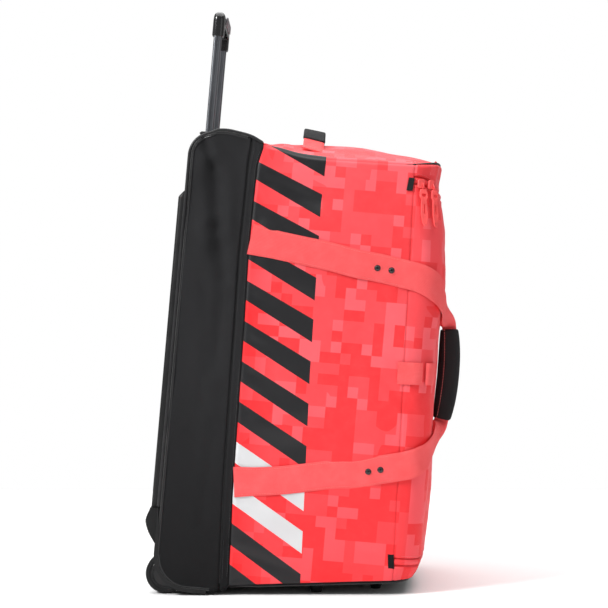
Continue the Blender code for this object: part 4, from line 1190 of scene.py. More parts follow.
def base_edge(side):
    """The edge of the base's side panel, from the rim over the top and down to the corner moulding."""
    path = [(share * BASE_DEPTH, float(top(share * BASE_DEPTH))) for share in np.linspace(1.17, 0.42, 18)]
    high = LENGTH * END_ROWS[0, 1]
    for t in np.radians(np.linspace(80, 4, 14)):
        path.append((TOP_CORNER * (1 - math.cos(t)), high - TOP_CORNER * (1 - math.sin(t))))
    path += [(0, s) for s in np.linspace(high - TOP_CORNER - 0.01, FLANGE_TOP + 0.002, 30)]
    return [(u + 0.0006, side * (HALF - 0.0012), s - 0.0012) for u, s in path]


def inner_edge(side, inset):
    """A second line inside the piping, on the side panel."""
    high = LENGTH * END_ROWS[0, 1]
    radius = TOP_CORNER - inset
    path = [(share * BASE_DEPTH, float(top(share * BASE_DEPTH)) - inset)
            for share in np.linspace(0.93, 0.42, 12)]
    for t in np.radians(np.linspace(80, 4, 14)):
        path.append((TOP_CORNER - radius * math.cos(t), high - TOP_CORNER + radius * math.sin(t)))
    path += [(inset, s) for s in np.linspace(high - TOP_CORNER - 0.01, BOTTOM_CORNER, 60)]
    radius = BOTTOM_CORNER - inset - 0.002
    for t in np.radians(np.linspace(4, 86, 16)):
        path.append((BOTTOM_CORNER - radius * math.cos(t), BOTTOM_CORNER - radius * math.sin(t)))
    path += [(u, inset + 0.002) for u in np.linspace(BOTTOM_CORNER + 0.004, BASE_DEPTH - 0.006, 8)]
    return [(u, side * (side_face(u, s) - 0.0002), s) for u, s in path]


def side_face(u, s):
    """The side panel's half width at a place, with its dents and drawn folds."""
    w = way_up(u, s)
    sunk = float(creases(np.array([[u, HALF, s]]))[0]) * min(1.0, abs(u - BASE_DEPTH) / 0.02)
    return float(half_width(u, w)) - end_room(w) * float(fold(u, s)) - sunk


for side, word in SIDES:
    corded(f"piping_{word}_cord", [base_edge(side)], PIPING, "piping", stands_for=(f"piping_{word}",))
    corded(f"panel_welt_{word}", [inner_edge(side, WELT_INSET)], WELT, "piping", sides=8)
    # A near-black cord between the piping and the welt: painted shade in the groove
    corded(f"panel_seam_{word}", [inner_edge(side, SHADE_CORD_INSET)], SHADE_CORD, "piping", sides=8,
           material=GROOVE_SHADE_CORD)


BINDING_INSET, BINDING_SUNK, BINDING_START = 0.0045, 0.0012, 0.375


def end_seam(w, inset, lift, low):
    """A line along the seam of an end panel, round the front, between the same depth on both sides."""
    points = ring(w, inset)
    chosen = [point for point in points if point[0] > low]
    chosen.sort(key=lambda point: math.atan2(point[1], point[0] - low + 0.02))
    return [(u, y, s + lift * (1 + 3 * min(max((low + 0.05 - u) / 0.05, 0), 1)))
            for u, y, s in chosen]


front_top = end_seam(1.0, BINDING_INSET, -BINDING_SUNK, BINDING_START)
corded("front_binding", [front_top], BINDING, "piping")
bottom_rim = end_seam(0.0, BINDING_INSET, BINDING_SUNK, STRIP_FRONT + 0.004)
corded("bottom_binding", [bottom_rim], 0.0021, "piping")
print("binding points", len(front_top), len(bottom_rim))

# %% [markdown]
# A zip closes the base. Its teeth sit in the dip between the base and its strip, so a line is laid round
# the bag at that depth, and the tree sets a pair of teeth every two and a half millimetres, one on each
# side.

# %% Zip teeth
TOOTH_STEP, TOOTH_ASIDE, TOOTH = 0.0025, 0.0008, (0.0012, 0.0024, 0.0012)


def lifted(u, w, side, out):
    """A point just off the side panel, drawn along with the cloth."""
    s = float(height_at(u, HALF, w))
    spot = (u, side * (float(half_width(u, w)) - end_room(w) * float(fold(u, s)) + out), s)
    return tuple(map(float, pulled(*spot)))


def side_row(u, out, low=0.03, high=0.975, count=150):
    """A line up both sides at one depth, with the way that the cloth faces."""
    points = [[lifted(u, w, side, out) for w in np.linspace(low, high, count)] for side in (-1, 1)]
    return points, [[(0, side, 0)] * count for side in (-1, 1)]


def girdle(u, sink):
    """Lines up both sides and over the top end at one depth."""
    points, ways = side_row(u, -sink, 0.02, 0.985, 160)
    over = [tuple(map(float, pulled(u, y, float(top(u, y)) - sink))) for y in np.linspace(-0.19, 0.19, 90)]
    return points + [over], ways + [[(0, 0, 1)] * len(over)]


teeth = box_form(TOOTH, ((0, -TOOTH_ASIDE, 0), (TOOTH_STEP / 2, TOOTH_ASIDE, 0)))
lines, ways = girdle(BASE_DEPTH, 0.0016)
rows_of(shape_of(teeth), "base_zip_teeth", lines, ways, TOOTH_STEP, "black_plastic", MADE["black_plastic"])
print("zip lines", len(lines))

# %% [markdown]
# Rows of short thread run beside the strip's two seams and along both edges of the zip cover's level
# runs. Each row is a line on the cloth with the copying tree run over it.

# %% Seam stitching
EDGE_STITCH = 0.0045


def wrap_row(s, out):
    """A line round the front at one height, from the near side to the far side."""
    w = (s - float(bottom(0.45))) / float(top(0.45) - bottom(0.45))
    points = ring(w)
    chosen = points[points[:, 0] > hinge(s) + 0.003]
    order = np.argsort(np.arctan2(chosen[:, 1], chosen[:, 0] - hinge(s) + 0.03))
    chosen = chosen[order]
    along = np.gradient(chosen[:, :2], axis=0)
    outward = np.column_stack([along[:, 1], -along[:, 0]])
    outward /= np.linalg.norm(outward, axis=1)[:, None]
    line = [pulled(p[0] + n[0] * out, p[1] + n[1] * out, s) for p, n in zip(chosen, outward)]
    return line, [(n[0], n[1], 0) for n in outward]


lines, ways = [], []
for u in (BASE_DEPTH + 0.0055, STRIP_FRONT - EDGE_STITCH):
    more, facing = side_row(u, 0.0003)
    lines += more
    ways += facing
stitched("strip_stitches", lines, ways, 0.0028, 0.0006, 0.0042, "black_cloth", BLACK_THREAD)
lines, ways = [], []
for s in (ZIP_TOP + EDGE_STITCH, ZIP_TOP - EDGE_STITCH, ZIP_TOP - ZIP_BAND - EDGE_STITCH,
          ZIP_BOTTOM - EDGE_STITCH, ZIP_BOTTOM + EDGE_STITCH, ZIP_BOTTOM + ZIP_BAND + EDGE_STITCH):
    line, facing = wrap_row(s, 0.0007)
    lines.append(line)
    ways.append(facing)
stitched("zip_stitches", lines, ways, 0.0026, 0.0006, 0.0038)
print("zip stitch rows", len(lines))

# %% [markdown]
# A carry strap starts in the seam beside the base, lies on the side, rounds the front corner and narrows
# into the padded grip. It is a ribbon swept through a few stations. The ribbon keeps a real thickness
# with rounded edges, and its map runs along and across it, which is what the ribbed weave follows.

# %% Ribbon maker
def smooth_rows(rows, steps):
    """A smooth run through rows of numbers, with so many steps between two rows."""
    table = np.array(rows, dtype=float)
    padded = np.vstack([2 * table[0] - table[1], table, 2 * table[-1] - table[-2]])
    made = []
    for i in range(1, len(padded) - 2):
        a, b, c, d = padded[i - 1:i + 3]
        for t in np.linspace(0, 1, steps, endpoint=False):
            made.append(0.5 * (2 * b + (c - a) * t + (2 * a - 5 * b + 4 * c - d) * t**2
                               + (3 * b - a - 3 * c + d) * t**3))
    made.append(table[-1])
    return np.array(made)


def ribbon(stations, lanes=14):
    """A webbing strip as a closed mesh with its map. Stations: middle, way across, width, thickness."""
    rings, runs, run = [], [], 0.0
    count = len(stations)
    profile = []
    for i in range(lanes + 1):
        share = 2 * i / lanes - 1
        profile.append((share, math.sqrt(max(0.0, 1 - abs(share)**14))))
    outline = [(a, b) for a, b in profile] + [(a, -b) for a, b in reversed(profile[1:-1])]
    for i, (middle, across, wide, thick) in enumerate(stations):
        along = stations[min(i + 1, count - 1)][0] - stations[max(i - 1, 0)][0]
        face = along.cross(across).normalized()
        sideways = face.cross(along).normalized()
        run += (middle - stations[max(i - 1, 0)][0]).length
        runs.append(run)
        rings.append([middle + sideways * (a * wide / 2) + face * (b * thick / 2) for a, b in outline])
    form = loft(rings)
    form.verts.ensure_lookup_table()
    size = len(outline)
    layer = form.loops.layers.uv.new("cloth")
    where = {vertex: (runs[n // size], outline[n % size][0] * stations[n // size][2] / 2)
             for n, vertex in enumerate(form.verts)}
    for face in form.faces:
        for loop in face.loops:
            loop[layer].uv = where[loop.vert]
    bmesh.ops.recalc_face_normals(form, faces=form.faces)
    return mesh_of(form, "ribbon")


print("ribbon maker ready")

# %% [markdown]
# The route goes along the upper side rows, round the corner, down the grip and back along the lower rows.
# The strap folds to half its width where it enters the grip.

# %% The carry straps' route
STRAP, STRAP_THICK, FOLDED, FOLDED_THICK, SEAT = 0.050, 0.0025, 0.026, 0.005, 0.0005
GRIP_MIDDLE, GRIP_BOW, GRIP_LENGTH = (1.0495, 0.5060), 0.0055, 0.168
# On the side: depth share, length share
SIDE_UPPER = ((0.268, 0.7652), (0.400, 0.7540), (0.546, 0.7427), (0.640, 0.7330), (0.720, 0.7280),
              (0.790, 0.7222))
SIDE_LOWER = ((0.268, 0.2437), (0.436, 0.2561), (0.620, 0.2780), (0.710, 0.2841), (0.790, 0.2965))
# Round the corner: degrees, length share, stand-off, folded share
CORNER_UPPER = ((10, 0.7115, 0.001, 0.0), (42, 0.6930, 0.002, 0.1), (78, 0.6670, 0.003, 0.3))
CORNER_LOWER = ((10, 0.3130, 0.001, 0.0), (42, 0.3290, 0.002, 0.1), (78, 0.3500, 0.003, 0.3))
# Free to the grip: depth share, half width share, length share, lean, folded share
FREE_UPPER = ((1.000, 0.420, 0.6440, 55, 0.6), (1.026, 0.140, 0.6270, 25, 0.9))
FREE_LOWER = ((1.008, 0.420, 0.3690, 55, 0.6), (1.028, 0.140, 0.3850, 25, 0.9))


SPREAD, SPREAD_FROM, SPREAD_RAMP = 0.09, 0.165, 0.045


def side_at(u, s):
    return float(half_width(u, way_up(u, s)))


def corner_start(s):
    """The depth at which the front corner starts to round, at one height."""
    return float(front(way_up(0.9 * DEPTH, s))) - FRONT_RADIUS


def corner_point(s, degrees, out):
    corner_u = corner_start(s)
    angle, reach = math.radians(degrees), FRONT_RADIUS + out
    middle = side_at(corner_u, s) - FRONT_RADIUS
    return corner_u + reach * math.sin(angle), middle + reach * math.cos(angle)


def grip_line(t):
    u, s = GRIP_MIDDLE[0] * DEPTH, GRIP_MIDDLE[1] * LENGTH
    return Vector((u - GRIP_BOW * t * t, 0, s + t * GRIP_LENGTH / 2))


def strap_rows(side_rows, corner_rows, free_rows):
    lift = SEAT + STRAP_THICK / 2
    rows = []
    for depth_share, length_share in side_rows:
        u, s = depth_share * DEPTH, length_share * LENGTH
        rows.append((float(pulled(u, 0, s)[0]), side_at(u, s) + lift, s, 0, 0))
    rows += [(*corner_point(s * LENGTH, degrees, lift + out), s * LENGTH, degrees, folded)
             for degrees, s, out, folded in corner_rows]
    return rows + [(u * DEPTH, y * HALF, s * LENGTH, lean, folded) for u, y, s, lean, folded in free_rows]


def strap_stations(side, steps=12):
    folded_y = (FOLDED_THICK + 0.0003) / 2
    rows = strap_rows(SIDE_UPPER, CORNER_UPPER, FREE_UPPER)
    for t in (1.04, 0.75, 0.4, 0, -0.4, -0.75, -1.04):
        point = grip_line(t)
        rows.append((point.x, folded_y, point.z, 0, 1.0))
    rows += strap_rows(SIDE_LOWER, CORNER_LOWER, FREE_LOWER)[::-1]
    smooth = smooth_rows(rows, steps)
    points = [Vector((u, side * max(y, folded_y), s)) for u, y, s, lean, folded in smooth]
    made = []
    for i, (u, y, s, lean, folded) in enumerate(smooth):
        along = (points[min(i + 1, len(points) - 1)] - points[max(i - 1, 0)]).normalized()
        folded = min(max(folded, 0), 1)
        angle = math.radians(lean * (1 - folded**4))
        face = Vector((math.sin(angle), side * math.cos(angle), 0))
        spread = 1 + SPREAD * min(max((SPREAD_FROM - u) / SPREAD_RAMP, 0), 1)
        made.append((points[i], face.cross(along), (STRAP + (FOLDED - STRAP) * folded) * spread,
                     STRAP_THICK + (FOLDED_THICK - STRAP_THICK) * folded))
    return made


def strap_line(stations, across_share, out, low, high):
    """A line on the strap's outer face, for stitches, between two depths."""
    line, ways = [], []
    for i, (middle, across, wide, thick) in enumerate(stations):
        if not low <= middle.x <= high:
            continue
        along = (stations[min(i + 1, len(stations) - 1)][0] - stations[max(i - 1, 0)][0]).normalized()
        face = along.cross(across).normalized()
        if face.y * middle.y < 0:
            face = -face
        line.append(middle + across.normalized() * (across_share * wide / 2) + face * (thick / 2 + out))
        ways.append(face)
    return line, ways


straps = {}
for side, word in SIDES:
    straps[word] = strap_stations(side)
    settle(f"carry_strap_{word}_webbing", ribbon(straps[word]), "coral_webbing",
           stands_for=(f"carry_strap_{word}",), angle=50)
    half = len(straps[word]) // 2
    lines, ways = [], []
    for run in (straps[word][:half], straps[word][half:]):
        for share in (-0.86, 0.86):
            line, facing = strap_line(run, share, 0.0002, 0.122, 0.40)
            lines.append(line)
            ways.append(facing)
    stitched(f"strap_stitches_{word}", lines, ways, 0.0030, 0.0007, 0.0045)
print("strap stations", len(straps["left"]))

# %% [markdown]
# Two rivets hold each strap end. Each head sits on the strap's outer face.

# %% Rivets
RIVET_ROWS = ((0.723, 0.7268), (0.775, 0.7244), (0.754, 0.2915), (0.798, 0.2976))


def rivet_head(radius=0.0046, high=0.0030, sides=20):
    """A domed head on a thin washer."""
    profile = [(1.18, 0.0), (1.18, 0.14), (1.0, 0.20), (0.97, 0.42), (0.84, 0.72), (0.58, 0.92), (0.24, 1.0)]
    rings = [[(radius * share * math.cos(t), radius * share * math.sin(t), high * rise)
              for t in np.linspace(0, 2 * math.pi, sides, endpoint=False)] for share, rise in profile]
    return loft(rings)


for side, word in SIDES:
    lines, ways = [], []
    for du, ds in RIVET_ROWS:
        u, s = du * DEPTH, ds * LENGTH
        near = sorted(straps[word], key=lambda row: (row[0].x - u)**2 + (row[0].z - s)**2)[:2]
        seat = max(abs(row[0].y) for row in near) + STRAP_THICK / 2
        lines.append([(u - 1e-4, side * seat, s), (u + 1e-4, side * seat, s)])
        ways.append([(0, side, 0)] * 2)
    shape = shape_of(rivet_head())
    heads = grown(COPIES, line_mesh(lines, ways), Shape=shape, Step=1.0, Material=MADE["rivet"])
    bpy.data.objects.remove(shape)
    settle(f"rivet_heads_{word}", heads, "rivet", stands_for=[f"rivet_{word}_{i}" for i in (1, 2, 3, 4)])
print("rivets", 2 * len(RIVET_ROWS))

# %% [markdown]
# The grip is a padded wrap round both straps. It is blown up as cloth: the form is remeshed into even
# cells, the cloth solver inflates it a little with gravity off, and how far a point may move is capped. A
# row of coral stitches runs down each side, beside its inner edge.

# %% Padding by cloth simulation
PUFF_FRAMES = 20


def puffed(form, voxel, pressure, cap):
    """Inflates a closed form slightly and returns its mesh."""
    mesh = closed_mesh(form)
    thing = added("puffed", mesh)
    remesh = thing.modifiers.new("even", "REMESH")
    remesh.mode = "VOXEL"
    remesh.voxel_size = voxel
    bpy.context.view_layer.update()
    even = plain(thing)
    thing.data = even
    before = np.array([vertex.co for vertex in even.vertices])
    cloth = thing.modifiers.new("cloth", "CLOTH")
    cloth.settings.use_pressure = True
    cloth.settings.uniform_pressure_force = pressure
    cloth.settings.effector_weights.gravity = 0
    cloth.settings.quality = 6
    scene = bpy.context.scene
    for number in range(1, PUFF_FRAMES + 1):
        scene.frame_set(number)
    after = plain(thing)
    scene.frame_set(1)
    moved = np.array([vertex.co for vertex in after.vertices]) - before
    length = np.linalg.norm(moved, axis=1)
    moved *= np.minimum(1, cap / np.maximum(length, 1e-9))[:, None]
    even.vertices.foreach_set("co", (before + moved).ravel())
    fine = thing.modifiers.new("fine", "SUBSURF")
    fine.levels = fine.render_levels = 1
    return taken(thing)


def box_map(mesh, long="z"):
    """A cloth map by each face's main direction."""
    coordinates = []
    points = mesh.vertices
    for face in mesh.polygons:
        a = 2 if long == "z" else 1
        b = 1 if abs(face.normal.x) > abs(face.normal.y) else 0
        if a == 1:
            b = 0 if abs(face.normal.z) > abs(face.normal.x) else 2
        coordinates += [(points[i].co[a], points[i].co[b]) for i in face.vertices]
    cloth_map(mesh, coordinates)
    return mesh


GRIP_ACROSS, GRIP_THROUGH, GRIP_TAPER = 0.0445, 0.039, 0.18


def grip_form(shrink=0.0):
    rings = []
    for t in np.linspace(-1, 1, 31).tolist():
        full = float(1 - GRIP_TAPER * abs(t)**3)
        if abs(t) > 0.97:
            full *= 0.97
        middle = grip_line(t)
        along = (grip_line(t + 0.05) - grip_line(t - 0.05)).normalized()
        first = Vector((0, 1, 0)).cross(along)
        outline = rectangle(GRIP_ACROSS - shrink, GRIP_THROUGH - shrink, 0.42 * GRIP_THROUGH, steps=6)
        rings.append([middle + full * (a * first + b * Vector((0, 1, 0))) for a, b in outline])
    return loft(rings)


grip_mesh = box_map(puffed(grip_form(0.0035), 0.0032, 3.0, 0.0022))
grip = settle("carry_grip_pad", grip_mesh, "black_cloth", stands_for=("carry_grip",), angle=60)
lines, ways = [], []
for side in (-1, 1):
    line = []
    for t in np.linspace(-0.97, 0.97, 40).tolist():
        half = GRIP_THROUGH / 2 * (1 - GRIP_TAPER * abs(t)**3)
        line.append(grip_line(t) + Vector((-0.0105, side * (half - 0.0004), 0)))
    lines.append(line)
    ways.append([(0, side, 0)] * len(line))
stitched("grip_stitches", lines, ways, 0.0034, 0.0010, 0.0050)
print("grip", len(grip.data.polygons))

# %% [markdown]
# The grab handle on the top end is a webbing arch with a black wrap round its middle.

# %% Top handle
HANDLE_U, HANDLE_WEB, HANDLE_REACH = 0.4515 * DEPTH, 0.038, 0.84 * WIDTH
HANDLE_RISE, HANDLE_SEAT = 0.0208, 0.0014
WRAP_LENGTH = 0.236


def handle_curve(y):
    share = abs(y) / (HANDLE_REACH / 2)
    free = max(0.0, 1 - (share / 0.82)**2.6)
    seat = float(top(HANDLE_U, y)) + HANDLE_SEAT + STRAP_THICK / 2
    return Vector((HANDLE_U, y, seat + HANDLE_RISE * free**0.8))


def handle_across(y):
    reach = HANDLE_WEB / 2
    slope = float(top(HANDLE_U + reach, y) - top(HANDLE_U - reach, y)) - 0.36 * reach
    return Vector((2 * reach, 0, slope)).normalized()


places = np.linspace(-HANDLE_REACH / 2, HANDLE_REACH / 2, 81).tolist()
stations = [(handle_curve(y), handle_across(y), HANDLE_WEB, STRAP_THICK) for y in places]
settle("top_handle_strap", ribbon(stations), "coral_webbing", stands_for=("top_handle_webbing",), angle=50)
lines, ways = [], []
for side in (-1, 1):
    for share in (-0.8, 0.8):
        line = [handle_curve(side * y) + handle_across(y) * share * HANDLE_WEB / 2 + Vector((0, 0, 0.0015))
                for y in np.linspace(0.072, 0.158, 20).tolist()]
        lines.append(line)
        ways.append([(0, 0, 1)] * len(line))
stitched("top_handle_stitches", lines, ways, 0.0030, 0.0007, 0.0045)

rings_wrap = []
for y in np.linspace(-WRAP_LENGTH / 2, WRAP_LENGTH / 2, 25).tolist():
    along = (handle_curve(y + 0.004) - handle_curve(y - 0.004)).normalized()
    first = handle_across(y)
    second = along.cross(first)
    outline = rectangle(HANDLE_WEB + 0.0040, STRAP_THICK + 0.0042, 0.0030, steps=4)
    rings_wrap.append([handle_curve(y) + a * first + b * second for a, b in outline])
wrap_mesh = box_map(puffed(loft(rings_wrap), 0.0022, 2.0, 0.0008), "y")
wrap = settle("top_handle_pad", wrap_mesh, "black_cloth", stands_for=("top_handle_wrap",), angle=60)
print("top handle wrap", len(wrap.data.polygons))

# %% [markdown]
# A short webbing tab lies on each front corner, half way up, and lifts into a low loop round it.

# %% Side tabs
TAB_HIGH, TAB_THICK, TAB_S, TAB_TILT = 0.039, 0.0018, 0.507 * LENGTH, 2.5
# On the side by depth share, then round the corner by degrees and stand-off
TAB_FLAT = (0.829, 0.840, 0.850, 0.860, 0.868)
TAB_ROUND = ((11, 0.0012), (20, 0.0020), (29, 0.0024))
TAB_LOOP = ((36.5, 0.0035), (42, 0.0066), (50, 0.0070), (58, 0.0056), (68, 0.0024), (78, 0.0004))
for side, word in SIDES:
    s, lift = TAB_S, SEAT + TAB_THICK / 2
    rows = [(share * DEPTH, side_at(share * DEPTH, s) + lift) for share in TAB_FLAT]
    rows += [corner_point(s, degrees, lift + out) for degrees, out in TAB_ROUND]
    loop = [corner_point(s, degrees, lift + out) for degrees, out in TAB_LOOP]
    rise, start = math.tan(math.radians(TAB_TILT)), rows[0][0]
    for part, places, solids in (("flat", rows, (f"side_tab_{word}",)), ("loop", loop, ())):
        stations = [(Vector((u, side * y, s + rise * (u - start))), Vector((0, 0, 1)), TAB_HIGH, TAB_THICK)
                    for u, y in smooth_rows(places, 6)]
        settle(f"side_tab_{word}_{part}", ribbon(stations), "coral_webbing", stands_for=solids, angle=50)
print("tab stations", len(stations))

# %% [markdown]
# The telescoping handle: two drawn tubes with grooves along their faces, a gloss grip whose bar is
# rounded over its top. The soft grey insert keeps its solid's form. The tubes and the grip ride on the
# body that slides.

# %% Handle tubes and grip
BEZEL_TOP = 0.9957 * LENGTH
TUBE_U, TUBE_Y, TUBE_DEEP, TUBE_WIDE = 0.0265, 0.095, 0.014, 0.022
TUBE_LOW, GRIP_LOW = BEZEL_TOP - 0.1565, BEZEL_TOP + 0.1745
GRIP_LEG, GRIP_BAR, GRIP_DEEP, GRIP_OVER = 0.025, 0.020, 0.021, 0.012
# A groove's section: place across it, and 1 where it is sunk
GROOVE = ((-0.0011, 0), (-0.0006, 1), (0.0006, 1), (0.0011, 0))


def tube_outline(y, groove=0.0007):
    """A rounded tube section with two grooves down each broad face and one down each narrow face."""
    base = rectangle(TUBE_DEEP, TUBE_WIDE, 0.0035, steps=5)
    points = []
    for i, (a, b) in enumerate(base):
        points.append((a, b))
        c, d = base[(i + 1) % len(base)]
        long = math.hypot(c - a, d - b)
        if long < 0.004:
            continue
        normal = Vector((d - b, a - c)).normalized()
        for middle in ((0.28, 0.72) if long > 0.010 else (0.5,)):
            for shift, deep in GROOVE:
                t = middle + shift / long
                sunk = deep * groove
                points.append((a + (c - a) * t - normal.x * sunk, b + (d - b) * t - normal.y * sunk))
    return [(TUBE_U + a, y + b) for a, b in points]


for side, word in SIDES:
    outline = tube_outline(side * TUBE_Y)
    tube = loft([[(a, b, s) for a, b in outline] for s in (TUBE_LOW, GRIP_LOW + 0.01)])
    settle(f"handle_tube_{word}", closed_mesh(tube), "tube_aluminium", "pull_handle", (f"pull_tube_{word}",))


def grip_outline(outer, inner):
    """The handle's grip seen from the front, drawn in by an amount outside and another inside."""
    reach, high = TUBE_Y + GRIP_OVER - outer, GRIP_LOW + GRIP_LEG + GRIP_BAR - outer
    inside = TUBE_Y + GRIP_OVER - GRIP_LEG + inner
    low, under = GRIP_LOW + inner, GRIP_LOW + GRIP_LEG + inner
    legs = [(-reach, low, 0.0015), (-inside, low, 0.0015), (-inside, under, 0.006),
            (inside, under, 0.006), (inside, low, 0.0015), (reach, low, 0.0015)]
    return rounded(legs + [(reach, high, 0.0135), (-reach, high, 0.0135)], 10)


def drawn_in(depth, radius):
    """How far a rounded edge of this radius is drawn in at a depth from the middle plane."""
    over = depth - (GRIP_DEEP / 2 - radius)
    return 0.0 if over <= 0 else radius - math.sqrt(max(0.0, radius**2 - over**2))


layers = np.sin(np.linspace(-math.pi / 2, math.pi / 2, 31)) * GRIP_DEEP / 2
rings_grip = []
for deep in layers:
    outline = grip_outline(drawn_in(abs(deep), 0.0085), drawn_in(abs(deep), 0.003))
    rings_grip.append([(TUBE_U + deep, a, b) for a, b in outline])
settle("handle_grip", closed_mesh(loft(rings_grip)), "grip_plastic", "pull_handle", ("pull_grip",), angle=40)
print("grip layers", len(layers))

# %% [markdown]
# Wheels: a tyre turned from a rounded profile with three grooves, tread blocks between them, and a hub
# with spokes. The turned shapes are lofts about the wheel's axis, and the tread comes from the copying
# tree.

# %% Wheels
RIM, WHEEL_Y = WHEEL_RADIUS - 0.0095, 0.165
SPOKE = ((0.0085, -0.0030), (0.0225, -0.0022), (0.0225, 0.0022), (0.0085, 0.0030))
# Lanes of tread blocks: place across the tyre, how far they lean outwards
TREAD_LANES = ((-0.0132, -0.55), (-0.0066, 0), (0.0, 0), (0.0066, 0), (0.0132, 0.55))
# The hub's half section: radius, how far it stands out past the tyre's side
HUB = ((0.0044, 0.001), (0.0085, 0.001), (0.0095, -0.002), (0.0105, -0.0035), (RIM - 0.0035, -0.0035),
       (RIM - 0.0030, -0.0015), (RIM - 0.0004, -0.001))


def turned(profile, sides, middle):
    cx, cy, cz = middle
    rings = []
    for t in np.linspace(0, 2 * math.pi, sides, endpoint=False):
        rings.append([(cx + r * math.cos(t), cy + y, cz + r * math.sin(t)) for r, y in profile])
    return loft(rings, closed=True)


def tyre_profile():
    half, groove = WHEEL_WIDTH / 2, 0.0012
    crown = [(RIM, -half + 0.001), (RIM + 0.003, -half + 0.0002)]
    for t in np.radians((0, 22, 45, 68, 90)):
        crown.append((WHEEL_RADIUS - 0.0060 + 0.0045 * math.sin(t), -half + 0.005 * (1 - math.cos(t))))
    grooves = [(WHEEL_RADIUS - 0.0015 - deep * groove, middle + shift)
               for middle in (-0.0066, 0.0, 0.0066) for shift, deep in GROOVE]
    return crown + grooves + [(r, -y) for r, y in crown[::-1]]


for side, word in SIDES:
    at = (WHEEL_U, side * WHEEL_Y, WHEEL_S)
    body = f"wheel_{word}"
    settle(f"tyre_{word}_tread", closed_mesh(turned(tyre_profile(), 96, at)), "tyre", body, (f"tyre_{word}",))
    lines, ways = [], []
    for lane, tilt in TREAD_LANES:
        circle = np.linspace(0, 2 * math.pi, 121) + 40 * lane
        reach = WHEEL_RADIUS - 0.0012 - 0.0022 * abs(tilt)
        lines.append([(at[0] + reach * math.cos(t), at[1] + lane, at[2] + reach * math.sin(t))
                      for t in circle])
        ways.append([(math.cos(t), tilt, math.sin(t)) for t in circle])
    block = shape_of(box_form((0.0036, 0.0050, 0.0022)))
    rows_of(block, f"tread_blocks_{word}", lines, ways, 0.0050, "tyre", MADE["tyre"], body)
    half = WHEEL_WIDTH / 2
    hub = [(r, -half - out) for r, out in HUB] + [(r, half + out) for r, out in HUB[::-1]]
    settle(f"hub_{word}_disc", closed_mesh(turned(hub, 64, at)), "hub_plastic", body, (f"hub_{word}",))
    spokes = bmesh.new()
    for number in range(6):
        t = math.radians(60 * number)
        section = [(at[0] + a * math.cos(t) - b * math.sin(t), at[2] + a * math.sin(t) + b * math.cos(t))
                   for a, b in SPOKE]
        prism = loft([[(u, at[1] + y, s) for u, s in section] for y in (-half + 0.0022, half - 0.0022)])
        spokes.from_mesh(closed_mesh(prism))
    settle(f"hub_{word}_spokes", closed_mesh(spokes), "hub_plastic", body)
print("wheels dressed")

# %% [markdown]
# Hard trim: grooved rails, ribs across the bumpers, and a frame round the handle's opening.

# %% Rails, bumper ribs and handle frame
RAIL_OUT, RAIL_WIDTH, RAIL_Y = 0.0145, 0.022, 0.155
RAIL_LOW, RAIL_HIGH = 0.1395, 0.8634 * LENGTH
# The rail tapers off at its top: way up, share of its full height
RAIL_ROWS = ((RAIL_LOW, 0.93), (RAIL_LOW + 0.0015, 1.0), (RAIL_HIGH - RAIL_OUT - 0.002, 1.0),
             (RAIL_HIGH - RAIL_OUT + 0.001, 0.92), (RAIL_HIGH - 0.006, 0.50), (RAIL_HIGH - 0.001, 0.16))
# The bumper's curve behind the wheel, in u and s
BUMPER = ((-0.0150, 0.1385), (-0.0211, 0.1189), (-0.0192, 0.1080), (-0.0138, 0.0957), (-0.0035, 0.0803))


def rail_outline(out):
    """The rail's section in y and u: a rounded back with two grooves along it."""
    half, groove = RAIL_WIDTH / 2, 0.0012
    points = [(-half, 0.0), (-half, 0.62 * out), (-0.86 * half, 0.88 * out), (-0.66 * half, out)]
    middle = -0.28 * half
    points += [(middle - 0.0012, out), (middle - 0.0007, out - groove), (middle + 0.0007, out - groove),
               (middle + 0.0012, out)]
    return points + [(-a, b) for a, b in points[::-1]]


for side, word in SIDES:
    rings_rail = []
    for s, out in RAIL_ROWS:
        section = rail_outline(RAIL_OUT * out - 0.0004)
        rings_rail.append([(-0.0004 - b, side * RAIL_Y + a, s) for a, b in section])
    settle(f"rail_{word}", closed_mesh(loft(rings_rail)), "black_plastic", stands_for=(f"skid_rail_{word}",))
    fine = smooth_rows(BUMPER, 10)
    line = [(u, side * WHEEL_Y, s) for u, s in fine]
    along = np.gradient(fine, axis=0)
    ways = [(a[1], 0, -a[0]) for a in along]
    rib = shape_of(box_form((0.0011, 0.034, 0.0014)))
    rows_of(rib, f"bumper_ribs_{word}", [line], [ways], 0.0030, "black_plastic", MADE["black_plastic"])
opening = rectangle(BEZEL_DEEP, BEZEL_WIDE, 0.006, (BEZEL_U, 0), 6)
opening.append(opening[0])
frame_line = [(u, y, float(top(u, y)) + 0.0002) for u, y in opening]
corded("handle_opening_frame", [frame_line], 0.0016, "black_plastic", step=0.003, sides=8)
print("trim done")

# %% [markdown]
# Two sliders sit on the zip's upper run near the corner. Each has a body, a bail and a moulded puller
# that hangs down.

# %% Pull tabs of the zip
PULLER_LONG, PULLER_THICK = 0.066, 0.0028
# Depth share, stand-off of the slider, stand-off of the puller from it
FITTINGS = ((0.872, -0.0007, 0.0012), (0.905, 0.0012, 0.0024))


def skin_point(u, s, out):
    """A place off the skin's near side or front corner, and the way that the skin faces there."""
    corner_u = corner_start(s)
    if u <= corner_u:
        return (u, side_at(u, s) + out), (0, 1)
    angle = math.asin(min((u - corner_u) / FRONT_RADIUS, 1))
    return corner_point(s, math.degrees(angle), out), (math.sin(angle), math.cos(angle))


